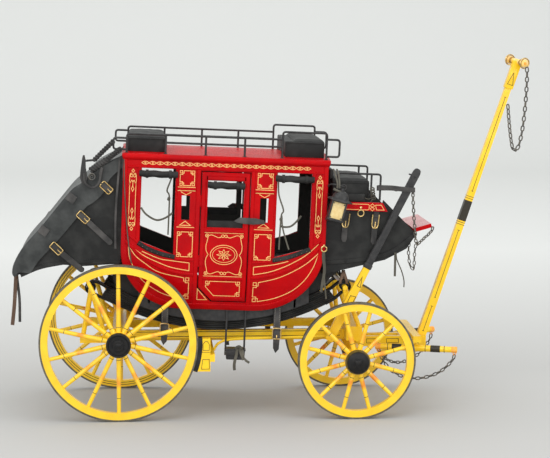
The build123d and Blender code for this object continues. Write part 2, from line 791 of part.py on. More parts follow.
def make_seat_rails():
    """Low iron hand rails beside the driver's seat, each on two ends and a post."""
    start = BODY_LENGTH + SEAT_START + SEAT_LEG
    post = BODY_LENGTH + SEAT_START + SEAT_LENGTH + RAIL_RADIUS
    arm = SEAT_LOW + SEAT_LEG
    foot = front_boot_point(BOARD_END_SHARE, FRONT_BOOT_SHARES[0][1])[2] + SEAT_RAIL_FOOT
    high = SEAT_LOW + SEAT_HEIGHT + SEAT_RAIL_RISE
    y = -SEAT_HALF - RAIL_RADIUS
    route = ((start, y, arm), (start, y, high), (SEAT_RAIL_X, y, high), (SEAT_RAIL_X, y, foot))
    rail = bent_rod(route, RAIL_RADIUS, RAIL_BEND)
    rail += rod((post, y, SEAT_LOW), (post, y, high), RAIL_RADIUS)
    return both_sides(rail)


def make_lantern(side):
    """A side lantern: a box under a domed cap with a brim, leaning on its bracket."""
    half = LANTERN_WIDTH / 2
    deep = LANTERN_DEPTH / 2
    box = block((-half, half), (-deep, deep), (-LANTERN_BOX, 0))
    brim = LANTERN_BRIM_THICK
    top = brim + LANTERN_CAP
    cap = rod((0, 0, 0), (0, 0, brim), LANTERN_BRIM)
    cap += Pos(0, 0, brim + LANTERN_CAP / 2) * Cone(LANTERN_DOME, LANTERN_DOME_TOP, LANTERN_CAP)
    chimney = rod((0, 0, brim), (0, 0, top + LANTERN_CHIMNEY_RISE), LANTERN_CHIMNEY)
    place = Pos(LANTERN_X, LANTERN_Y, LANTERN_LOW + LANTERN_BOX) * Rot(0, LANTERN_LEAN, 0)
    arm = block(
        (BODY_LENGTH - LANTERN_ARM, LANTERN_X),
        (BODY_HALF, BODY_HALF + LANTERN_ARM),
        (LANTERN_LOW, LANTERN_LOW + LANTERN_ARM),
    )
    lantern = place * (box + cap + chimney) + arm
    return lantern if side > 0 else mirror(lantern, about=Plane.XZ)


def make_steps():
    """A small iron step under each door, hung on two bars from the body's edge."""
    out = BODY_HALF - BODY_TUCK
    middle = BRAKE_X + SHOE_THICK / 2 + BRAKE_WIDTH + STEP_GAP + STEP_WIDTH / 2
    low = BODY_BOTTOM - STEP_DROP
    x = (middle - STEP_WIDTH / 2, middle + STEP_WIDTH / 2)
    y = (-out, -out + WALL)
    step = block(x, (-out - STEP_DEPTH + WALL, -out + WALL), (low, low + STEP_THICK))
    for left in (x[0], x[1] - STEP_BAR):
        step += block((left, left + STEP_BAR), y, (low, BODY_BOTTOM))
    return both_sides(step)


def make_straps():
    """Leather check straps that hang from the lower edge of the body's sides."""
    body = along_y(body_face(0), -BODY_HALF, BODY_HALF)
    out = BODY_HALF - BODY_TUCK
    straps = Part()
    for share in STRAP_SHARES:
        x = BODY_LENGTH * share
        strap = block(
            (x - STRAP_WIDTH / 2, x + STRAP_WIDTH / 2),
            (-out, -out + STRAP_THICK),
            (BODY_BOTTOM - STRAP_DROP, BODY_BOTTOM + OVERRUN),
        )
        straps += (strap - body).solids().sort_by(Axis.Z)[0]
    return both_sides(straps)


def make_braces():
    band = along_y(brace_face(), -BRACE_OUT, -BRACE_IN)
    low = STAND_TOP - BRACE_EYE / 2
    high = STAND_TOP + BRACE_EYE / 2
    across = (-BRACE_OUT, -BRACE_IN)
    eye = BRACE_EYE / 2
    rear = block((REAR_STAND_X - eye, REAR_STAND_X + BRACE_TAIL), across, (low, high))
    front = block((FRONT_STAND_X - BRACE_TAIL, FRONT_STAND_X + eye), across, (low, high))
    brace = band + rear + front
    for x in (REAR_STAND_X, FRONT_STAND_X):
        brace -= rod((x, -BODY_HALF, STAND_TOP), (x, 0, STAND_TOP), SHACKLE_RADIUS + FIT)
    return both_sides(brace)


def make_rear_stand():
    """Iron stands behind the rear axle, joined by the bar that holds the straps' ends."""
    low = REACH_TOP
    top = (REAR_STAND_X, STAND_TOP)
    half = BRACE_OUT + STAND_BASE
    side = block(
        (-REAR_STAND_BACK, -AXLE_BAR / 2), (-half, -BRACE_OUT - SLACK), (low, low + AXLE_BAR)
    )
    y = -(half + BRACE_OUT) / 2
    for foot in (-REAR_STAND_BACK + STAND_RADIUS, REAR_STAND_X + BRACE_TAIL):
        side += rod((foot, y, low + AXLE_BAR / 2), (top[0], y, top[1]), STAND_RADIUS)
    bar = rod((top[0], -half, top[1]), (top[0], half, top[1]), SHACKLE_RADIUS)
    return side + mirror(side, about=Plane.XZ) + bar


def make_front_stand():
    """The front bolster with its two stands and the bar that holds the straps' ends."""
    x = (WHEELBASE - BOLSTER_WIDTH / 2, WHEELBASE + BOLSTER_WIDTH / 2)
    half = BRACE_OUT + STAND_BASE
    stand = block(x, (-half, half), (REACH_TOP, BOLSTER_TOP))
    y = (half + BRACE_OUT) / 2
    low = BOLSTER_TOP - STAND_RADIUS
    for side in (-y, y):
        for foot in (x[0] + STAND_RADIUS, x[1] - STAND_RADIUS):
            stand += rod((foot, side, low), (FRONT_STAND_X, side, STAND_TOP), STAND_RADIUS)
    stand += rod((FRONT_STAND_X, -half, STAND_TOP), (FRONT_STAND_X, half, STAND_TOP), SHACKLE_RADIUS)
    return stand


def make_reach():
    """The perch: a middle bar and two side bars between the rear axle and front bolster."""
    end = WHEELBASE + BOLSTER_WIDTH / 2
    half = REACH_WIDTH / 2
    middle = block((-REAR_BED_WIDTH, end), (-half, half), (REACH_BOTTOM, REACH_TOP))
    y = (-HOUND_Y - HOUND_WIDTH / 2, -HOUND_Y + HOUND_WIDTH / 2)
    hound = block((AXLE_BAR / 2, WHEELBASE - BOLSTER_WIDTH / 2), y, (REACH_TOP, REACH_TOP + HOUND_HEIGHT))
    return middle + hound + mirror(hound, about=Plane.XZ)


def make_axle(x, z, bed_bottom, bed_top, bed_width):
    half = AXLE_BAR / 2
    axle = block((x - half, x + half), (-AXLE_HALF, AXLE_HALF), (z - half, z + half))
    reach = WHEEL_Y + HUB_OUT - END_PLAY
    axle += rod((x, -reach, z), (x, reach, z), SPINDLE_RADIUS)
    wide = bed_width / 2
    axle += block((x - wide, x + wide), (-BED_HALF, BED_HALF), (bed_bottom, bed_top))
    return axle


def make_rear_axle():
    low = REAR_AXLE_Z + AXLE_BAR / 2
    axle = make_axle(0, REAR_AXLE_Z, low, low + REAR_BED_HEIGHT, REAR_BED_WIDTH)
    for side in (-1, 1):
        y = (side * HOUND_Y - HOUND_WIDTH / 2, side * HOUND_Y + HOUND_WIDTH / 2)
        axle -= block((AXLE_BAR / 2, OVERRUN), y, (REACH_TOP, REACH_TOP + HOUND_HEIGHT))
    return axle


def make_front_axle():
    axle = make_axle(WHEELBASE, FRONT_AXLE_Z, FRONT_BED_BOTTOM, FRONT_BED_TOP, FRONT_BED_WIDTH)
    bore = rod((WHEELBASE, 0, 0), (WHEELBASE, 0, BOLSTER_TOP), KINGPIN_RADIUS + FIT)
    cheek = FRONT_BED_WIDTH / 2
    along = (WHEELBASE - cheek, WHEELBASE + cheek)
    axle += block(along, (-cheek, cheek), (FRONT_AXLE_Z - AXLE_BAR / 2, FRONT_BED_TOP))
    return axle - bore


def make_kingpin():
    low = FRONT_AXLE_Z - AXLE_BAR / 2 - END_PLAY - KINGPIN_NUT
    pin = rod((WHEELBASE, 0, low), (WHEELBASE, 0, REACH_BOTTOM), KINGPIN_RADIUS)
    return pin + rod((WHEELBASE, 0, low), (WHEELBASE, 0, low + KINGPIN_NUT), KINGPIN_HEAD)


def make_brake():
    """The brake beam under the perch with a shoe and pad at each rear wheel."""
    beam_x = (BRAKE_X + SHOE_THICK / 2, BRAKE_X + SHOE_THICK / 2 + BRAKE_WIDTH)
    half = WHEEL_Y + BRAKE_DEPTH / 2
    brake = block(beam_x, (-half, half), (REACH_BOTTOM - BRAKE_DEPTH, REACH_BOTTOM))
    out = half + OVERRUN
    wheel = rod((0, -out, REAR_AXLE_Z), (0, out, REAR_AXLE_Z), REAR_RADIUS + PAD_GAP)
    high = (REAR_AXLE_Z - SHOE_DROP, REAR_AXLE_Z + SHOE_RISE)
    for side in (-1, 1):
        y = (side * WHEEL_Y - BRAKE_DEPTH / 2, side * WHEEL_Y + BRAKE_DEPTH / 2)
        shoe = block((REAR_RADIUS - PAD_THICK * 2, BRAKE_X + SHOE_THICK), y, high)
        brake += shoe
    return brake - wheel


def make_brake_lever():
    """The hand brake: a long lever at the right with its cross bar and pull rod."""
    low = (LEVER_LOW_X, -LEVER_Y, LEVER_LOW_Z)
    lever = beam(low, (LEVER_TOP_X, -LEVER_Y, LEVER_TOP_Z), LEVER_THICK, LEVER_WIDTH)
    half = LEVER_BAR / 2
    side = -HOUND_Y - HOUND_WIDTH / 2
    lever += block(
        (LEVER_LOW_X - half, LEVER_LOW_X + half),
        (-LEVER_Y, side),
        (LEVER_LOW_Z - half, LEVER_LOW_Z + half),
    )
    rear = BRAKE_X + SHOE_THICK / 2 + BRAKE_WIDTH + SLACK
    pull = REACH_BOTTOM - BRAKE_DEPTH / 2
    lever += rod((rear, -LEVER_ROD_Y, pull), (LEVER_LOW_X, -LEVER_ROD_Y, LEVER_LOW_Z), LEVER_ROD)
    return lever


def lever_x(z):
    """Place of the lever's middle line at a height."""
    share = (z - LEVER_LOW_Z) / (LEVER_TOP_Z - LEVER_LOW_Z)
    return LEVER_LOW_X + share * (LEVER_TOP_X - LEVER_LOW_X)


def make_lever_strap():
    """The leather strap from the seat rail, looped round the brake lever over its chain."""
    top = front_boot_point(LEVER_CHAIN_SHARES[0][0], LEVER_CHAIN_SHARES[0][2])
    low = tipped(Pos(*top)).position.Z + LINK_LAP + SLACK
    high = low + LEVER_STRAP_HEIGHT
    middle = (low + high) / 2
    x = lever_x(middle)
    reach = LEVER_WIDTH
    thick = LEVER_THICK / 2 + LEVER_STRAP_THICK
    loop = block((x - reach, x + reach), (-LEVER_Y - thick, -LEVER_Y + thick), (low, high))
    start = (LEVER_STRAP_X, -SEAT_HALF - RAIL_RADIUS * 2 - LEVER_STRAP_THICK, middle)
    end = (x - reach + LEVER_STRAP_THICK, -LEVER_Y + thick - LEVER_STRAP_THICK / 2, middle)
    strap = loop + beam(start, end, LEVER_STRAP_THICK, LEVER_STRAP_HEIGHT)
    foot = (LEVER_LOW_X, -LEVER_Y, LEVER_LOW_Z)
    top = (LEVER_TOP_X, -LEVER_Y, LEVER_TOP_Z)
    return strap - beam(foot, top, LEVER_THICK, LEVER_WIDTH)


def make_futchells():
    """The two bars that hold the pole, running forward from the front axle bed."""
    start = WHEELBASE + FRONT_BED_WIDTH / 2
    y = (-FUTCHELL_IN - FUTCHELL_WIDTH, -FUTCHELL_IN)
    bar = block((start, FUTCHELL_END), y, (FUTCHELL_LOW, FUTCHELL_HIGH))
    bar = bar + mirror(bar, about=Plane.XZ)
    out = FUTCHELL_IN + FUTCHELL_WIDTH
    bar += rod((POLE_PIN_X, -out, POLE_PIN_Z), (POLE_PIN_X, out, POLE_PIN_Z), POLE_PIN_RADIUS)
    end = SPLINTER_X - SPLINTER_WIDTH / 2
    bar += block((end - SPLINTER_WIDTH, end), (-FUTCHELL_IN, FUTCHELL_IN), (FUTCHELL_LOW, FUTCHELL_HIGH))
    return bar


def make_splinter_bar():
    half = SPLINTER_WIDTH / 2
    bar = block(
        (SPLINTER_X - half, SPLINTER_X + half),
        (-SPLINTER_HALF, SPLINTER_HALF),
        (FUTCHELL_HIGH, FUTCHELL_HIGH + SPLINTER_HEIGHT),
    )
    for side in (-1, 1):
        low = TREE_Z - TREE_RADIUS - END_PLAY
        bar += rod((SPLINTER_X, side * TREE_Y, low), (SPLINTER_X, side * TREE_Y, FUTCHELL_HIGH), TREE_PIN)
    return bar


def tree_place(side, swing):
    """Where a swingletree stands: its pin, turned so that its outer end points forward."""
    return Pos(SPLINTER_X, side * TREE_Y, TREE_Z) * Rot(0, 0, side * (SQUARE_ANGLE - swing))


def make_tree(side, swing):
    tree = rod((-TREE_HALF, 0, 0), (TREE_HALF, 0, 0), TREE_RADIUS)
    tree -= rod((0, 0, -OVERRUN), (0, 0, OVERRUN), TREE_PIN + FIT)
    return tree_place(side, swing) * tree


def make_chain(points):
    """A chain as flat links laid along a route, each turned a quarter from the last."""
    route = Polyline(points)
    count = max(2, round(route.length / LINK_PITCH))
    links = None
    for number in range(count):
        start = route.position_at(number / count)
        end = route.position_at((number + 1) / count)
        line = end - start
        size = (LINK_WIRE, LINK_WIDTH) if number % 2 else (LINK_WIDTH, LINK_WIRE)
        lap = line.normalized() * LINK_LAP
        flat = abs(line.normalized().Y) < CROSSWISE_SHARE
        across = (0, 1, 0) if flat else (1, 0, 0)
        face = Plane(origin=start - lap, x_dir=across, z_dir=line) * Rectangle(*size)
        link = extrude(face, amount=line.length + LINK_LAP * 2)
        links = link if links is None else links + link
    return links


def make_trace_chain(side, swing):
    top = -TREE_RADIUS - LINK_LAP - SLACK
    points = [(x * TREE_HALF, 0, top - z * TRACE_SAG) for x, z in TRACE_SHARES]
    return tree_place(side, swing) * make_chain(points)


def make_pole_chain():
    """The chain that hangs from the near ring of the pole's cross bar."""
    head = (pole_place() * Pos(POLE_LENGTH, 0, 0)).position
    points = []
    for x, y, z in POLE_CHAIN_SHARES:
        points.append((head.X + x * POLE_LENGTH, y * HEAD_BAR_HALF, head.Z + z * POLE_LENGTH))
    return make_chain(points)


def make_lever_chain():
    """The chain from the lever's strap down to the foot board, laid out on the level body."""
    points = []
    for x, y, z in LEVER_CHAIN_SHARES:
        place = front_boot_point(x, z)
        points.append((place[0], y * FRONT_BOOT_HALF, place[2]))
    return make_chain(points)


def pole_stick():
    """The bare pole, laid along X from its pin."""
    butt = Plane(origin=(-POLE_TAIL, 0, 0), z_dir=(1, 0, 0)) * Rectangle(POLE_BUTT, POLE_BUTT)
    end = POLE_LENGTH - HEAD_BAR_RADIUS
    tip = Plane(origin=(end, 0, 0), z_dir=(1, 0, 0)) * Rectangle(POLE_TIP, POLE_TIP)
    return loft([butt, tip])


def make_pole():
    bore = rod((0, -OVERRUN, 0), (0, OVERRUN, 0), POLE_PIN_RADIUS + FIT)
    return pole_place() * (pole_stick() - bore)


def pole_place():
    return Pos(POLE_PIN_X, 0, POLE_PIN_Z) * Rot(0, -POLE_ANGLE, 0)


def make_pole_head():
    bar_x = POLE_LENGTH
    bar = rod((bar_x, -HEAD_BAR_HALF, 0), (bar_x, HEAD_BAR_HALF, 0), HEAD_BAR_RADIUS)
    for side in (-1, 1):
        end = side * HEAD_BAR_HALF
        flange = end - side * HEAD_FLANGE_THICK
        bar += rod((bar_x, flange, 0), (bar_x, end, 0), HEAD_FLANGE)
        ring = end - side * HEAD_WIRE
        bar += Pos(bar_x, ring, 0) * Rot(SQUARE_ANGLE, 0, 0) * Torus(HEAD_RING, HEAD_WIRE)
        bar += rod((bar_x, ring, 0), (bar_x + HEAD_RING, ring, 0), HEAD_WIRE)
    half = POLE_BUTT / 2
    sleeve = block((POLE_LENGTH - HEAD_SLEEVE, POLE_LENGTH), (-half, half), (-half, half))
    sleeve += bar.rotate(Axis.X, HEAD_SKEW)
    return pole_place() * (sleeve - pole_stick())


def make_wheel(x, radius, spokes, side):
    """The wooden wheel: nave, spokes and felloes, bored for its spindle."""
    outer = radius - TYRE_THICK
    rim = rod((0, -RIM_WIDTH / 2, 0), (0, RIM_WIDTH / 2, 0), outer)
    rim -= rod((0, -RIM_WIDTH, 0), (0, RIM_WIDTH, 0), outer - RIM_DEPTH)
    wheel = rim
    span = outer - RIM_DEPTH + SEAT_IN
    for number in range(spokes):
        foot = Plane(origin=(HUB_WAIST, 0, 0), z_dir=(1, 0, 0)) * Circle(SPOKE_FOOT)
        tip = Plane(origin=(span, 0, 0), z_dir=(1, 0, 0)) * Circle(SPOKE_TIP)
        spoke = loft([foot, tip])
        wheel += Rot(0, FULL_TURN * (number + 0.5) / spokes, 0) * spoke
    wheel += rod((0, -HUB_HALF, 0), (0, HUB_HALF, 0), HUB_RADIUS)
    wheel += rod((0, -HUB_OUT, 0), (0, HUB_IN, 0), HUB_WAIST)
    wheel -= rod((0, -OVERRUN, 0), (0, OVERRUN, 0), SPINDLE_RADIUS + FIT)
    return wheel_place(x, radius, side) * wheel


def wheel_place(x, radius, side):
    turn = Rot(0, 0, FULL_TURN / 2) if side > 0 else Rot(0, 0, 0)
    return Pos(x, side * WHEEL_Y, radius) * turn


def make_tyre(x, radius, side):
    tyre = rod((0, -TYRE_WIDTH / 2, 0), (0, TYRE_WIDTH / 2, 0), radius)
    tyre -= rod((0, -TYRE_WIDTH, 0), (0, TYRE_WIDTH, 0), radius - TYRE_THICK)
    return wheel_place(x, radius, side) * tyre


def make_hub_cap(x, radius, side):
    """The cap over the axle's end: a broad disc with a boss."""
    end = -HUB_OUT - CAP_LENGTH
    cap = rod((0, end, 0), (0, -HUB_OUT, 0), CAP_RADIUS)
    cap += rod((0, end - CAP_BOSS_LENGTH, 0), (0, end, 0), CAP_BOSS)
    cap -= rod((0, end + CAP_WALL, 0), (0, -HUB_OUT, 0), SPINDLE_RADIUS + CAP_WALL)
    return wheel_place(x, radius, side) * cap


nodes = {}

side_right = make_side()
door_right = make_door()
nodes["side_right"] = tipped(side_right)
nodes["side_left"] = tipped(mirror(side_right, about=Plane.XZ))
nodes["door_right"] = tipped(door_right)
nodes["door_left"] = tipped(mirror(door_right, about=Plane.XZ))

floor_end = BODY_LENGTH - FRONT_CURVE
nodes["rear_wall"] = tipped(body_band(-OVERRUN, REAR_CURVE))
nodes["floor"] = tipped(body_band(REAR_CURVE, floor_end))
nodes["front_wall"] = tipped(body_band(floor_end, BODY_LENGTH + OVERRUN))
nodes["roof"] = tipped(make_roof())
nodes["body_bearers"] = make_bearers()
for name, rear_share, front_share, top_share in BENCH_SHARES:
    nodes[name] = tipped(make_bench(rear_share, front_share, top_share))
nodes["curtain_rolls"] = tipped(make_curtains())
for name, rear_share, front_share, rise_share in ROOF_SEAT_SHARES:
    nodes[name] = tipped(make_roof_seat(rear_share, front_share, rise_share))
nodes["roof_rails"] = tipped(make_roof_rails())
nodes["rear_boot"] = tipped(make_rear_boot())
nodes["rear_boot_cover"] = tipped(make_boot_cover())
nodes["front_boot"] = tipped(make_front_boot())
nodes["boot_boards"] = tipped(make_boot_boards())
nodes["footboard"] = tipped(make_footboard())
nodes["driver_seat"] = tipped(make_driver_seat())
nodes["seat_rails"] = tipped(make_seat_rails())
nodes["lantern_right"] = tipped(make_lantern(-1))
nodes["lantern_left"] = tipped(make_lantern(1))
nodes["steps"] = tipped(make_steps())
nodes["check_straps"] = tipped(make_straps())

nodes["thoroughbraces"] = make_braces()
nodes["rear_stand"] = make_rear_stand()
nodes["front_stand"] = make_front_stand()
nodes["reach"] = make_reach()
nodes["rear_axle"] = make_rear_axle()
nodes["kingpin"] = make_kingpin()
nodes["brake_beam"] = make_brake()
nodes["brake_lever"] = make_brake_lever()
nodes["lever_strap"] = make_lever_strap()
nodes["lever_chain"] = tipped(make_lever_chain())

nodes["front_axle"] = make_front_axle()
nodes["futchells"] = make_futchells()
nodes["splinter_bar"] = make_splinter_bar()
for side_name, side, swing in TREES:
    nodes["swingletree_" + side_name] = make_tree(side, swing)
    nodes["trace_chain_" + side_name] = make_trace_chain(side, swing)
nodes["pole"] = make_pole()
nodes["pole_head"] = make_pole_head()
nodes["pole_chain"] = make_pole_chain()

# Wheels: (end name, axle place, radius, number of spokes)
WHEELS = (
    ("rear", 0.0, REAR_RADIUS, REAR_SPOKES),
    ("front", WHEELBASE, FRONT_RADIUS, FRONT_SPOKES),
)
for end_name, x, radius, spokes in WHEELS:
    for side_name, side in (("right", -1), ("left", 1)):
        corner = end_name + "_" + side_name
        nodes["wheel_" + corner] = make_wheel(x, radius, spokes, side)
        nodes["tyre_" + corner] = make_tyre(x, radius, side)
        nodes["hub_cap_" + corner] = make_hub_cap(x, radius, side)

boxes = [shape.bounding_box() for shape in nodes.values()]
ORIGIN_X = (min(box.min.X for box in boxes) + max(box.max.X for box in boxes)) / 2

os.makedirs("parts", exist_ok=True)
for name, shape in nodes.items():
    export_step(Pos(-ORIGIN_X, 0, 0) * shape, "parts/" + name + ".step")
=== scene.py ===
"""Looks of the scale model stagecoach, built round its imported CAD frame."""
import bmesh
import bpy
import math
from mathutils import Matrix, Vector


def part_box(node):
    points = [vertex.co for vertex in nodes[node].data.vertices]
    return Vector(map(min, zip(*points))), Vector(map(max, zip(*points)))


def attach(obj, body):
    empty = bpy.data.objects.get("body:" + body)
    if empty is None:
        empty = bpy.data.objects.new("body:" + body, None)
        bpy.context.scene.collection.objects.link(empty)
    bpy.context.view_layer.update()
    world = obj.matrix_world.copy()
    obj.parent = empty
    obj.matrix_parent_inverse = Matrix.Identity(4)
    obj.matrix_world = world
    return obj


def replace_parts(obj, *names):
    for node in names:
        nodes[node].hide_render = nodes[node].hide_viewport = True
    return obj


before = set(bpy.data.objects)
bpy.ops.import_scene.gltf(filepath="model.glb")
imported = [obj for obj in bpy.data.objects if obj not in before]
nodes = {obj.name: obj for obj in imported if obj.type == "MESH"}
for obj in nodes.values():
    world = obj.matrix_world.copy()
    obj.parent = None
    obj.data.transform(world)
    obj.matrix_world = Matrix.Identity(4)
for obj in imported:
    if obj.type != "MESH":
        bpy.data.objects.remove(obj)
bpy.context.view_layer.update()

# Places are in millimetres from the ground under the rear axle: X forward, Y left, Z up
tyre_low, tyre_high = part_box("tyre_rear_right")
DATUM_X = (tyre_low.x + tyre_high.x) / 2
MM = 0.001
SIDES = (-1, 1)
SIDE_NAMES = {-1: "right", 1: "left"}
# The coach body is drawn level, then tipped nose down about this place
TIP = math.radians(2.2)
TIP_X = 130
TIP_Z = 133
BODY_LONG = 251
BODY_LOW = 133
HALF = 84
# Below the belt the side walls curve in by the tuck
BELT = 200
TUCK = 14
TUCK_SHARES = ((0, 0), (0.25, 0.06), (0.5, 0.25), (0.75, 0.56), (1, 1))
# The pole's pin and how far the pole stands up from level
PIN_X = 387
PIN_Z = 81.5
POLE_ANGLE = math.radians(71.4)
WHEEL_Y = 98.5
# Wheels: name, place of the axle along X, radius, side
WHEELS = (
    ("rear_right", 0, 97, -1),
    ("rear_left", 0, 97, 1),
    ("front_right", 293, 73, -1),
    ("front_left", 293, 73, 1),
)


def plain(x, y, z):
    return Vector((x, y, z))


def level(x, y, z):
    """A point of the coach body as it is before it is tipped nose down."""
    a = x - TIP_X
    b = z - TIP_Z
    c = math.cos(TIP)
    s = math.sin(TIP)
    return Vector((TIP_X + a * c + b * s, y, TIP_Z - a * s + b * c))


def on_pole(x, y, z):
    """A point of the pole, x along it from its pin."""
    c = math.cos(POLE_ANGLE)
    s = math.sin(POLE_ANGLE)
    return Vector((PIN_X + x * c - z * s, y, PIN_Z + x * s + z * c))


def wall_y(z):
    """How far out the side wall is at a height of the level body."""
    drop = min(max((BELT - z) / (BELT - BODY_LOW), 0), 1)
    for (a, p), (b, q) in zip(TUCK_SHARES, TUCK_SHARES[1:]):
        if drop <= b:
            return HALF - TUCK * (p + (q - p) * (drop - a) / (b - a))


# Paths and outlines


def curve(points, steps=5):
    """Points of a smooth line through the given ones."""
    spots = [Vector(p) for p in points]
    last = len(spots) - 1
    found = []
    for i in range(last):
        a, b, c, d = (spots[min(max(i + k, 0), last)] for k in (-1, 0, 1, 2))
        for step in range(steps):
            t = step / steps
            square = (2 * a - 5 * b + 4 * c - d) * t * t
            cube = (3 * b - a - 3 * c + d) * t ** 3
            found.append(0.5 * (2 * b + (c - a) * t + square + cube))
    return found + [spots[-1]]


def rounded(points, radius, steps=5, loop=False):
    """A path of straight runs whose corners are rounded off."""
    spots = [Vector(p) for p in points]
    count = len(spots)
    found = []
    for i, spot in enumerate(spots):
        if not loop and i in (0, count - 1):
            found.append(spot)
            continue
        before = spots[i - 1] - spot
        after = spots[(i + 1) % count] - spot
        cut = min(radius, before.length * 0.49, after.length * 0.49)
        start = spot + before.normalized() * cut
        end = spot + after.normalized() * cut
        for step in range(steps + 1):
            t = step / steps
            found.append(start * (1 - t) ** 2 + spot * 2 * t * (1 - t) + end * t * t)
    return found


def even(points, gap, loop=False):
    """The same path with a point at least every gap."""
    spots = [Vector(p) for p in points]
    if loop:
        spots.append(spots[0])
    found = []
    for a, b in zip(spots, spots[1:]):
        parts = max(1, math.ceil((b - a).length / gap))
        found += [a.lerp(b, k / parts) for k in range(parts)]
    return found if loop else found + [spots[-1]]


def directions(spots, loop):
    """The way that a path runs at each of its points."""
    count = len(spots)
    found = []
    for i, spot in enumerate(spots):
        after = spots[(i + 1) % count] if loop or i < count - 1 else spot
        before = spots[i - 1] if loop or i > 0 else spot
        found.append((after - before).normalized())
    return found


def turns(steps):
    """Angles of evenly spaced places round a circle."""
    return [2 * math.pi * k / steps for k in range(steps)]


def circle(x, z, wide, steps=12, high=None):
    """A circle, or an oval where its half height is given."""
    return [(x + wide * math.cos(a), z + (high or wide) * math.sin(a)) for a in turns(steps)]


def diamond(x, z, wide, high):
    return [(x - wide, z), (x, z + high), (x + wide, z), (x, z - high)]


def upright(y, pairs):
    """Places in an upright plane at y, from (x, z) pairs."""
    return [(x, y, z) for x, z in pairs]


def chamfered(w, t, cut):
    """Corners of a flat bar's section with its edges cut."""
    half = [(-w, cut - t), (-w, t - cut), (cut - w, t), (w - cut, t)]
    return half + [(-a, -b) for a, b in half]


# A raised line has a point at least this often, and starts this deep in its wall
LINE_GAP = 5
SUNK = 0.05


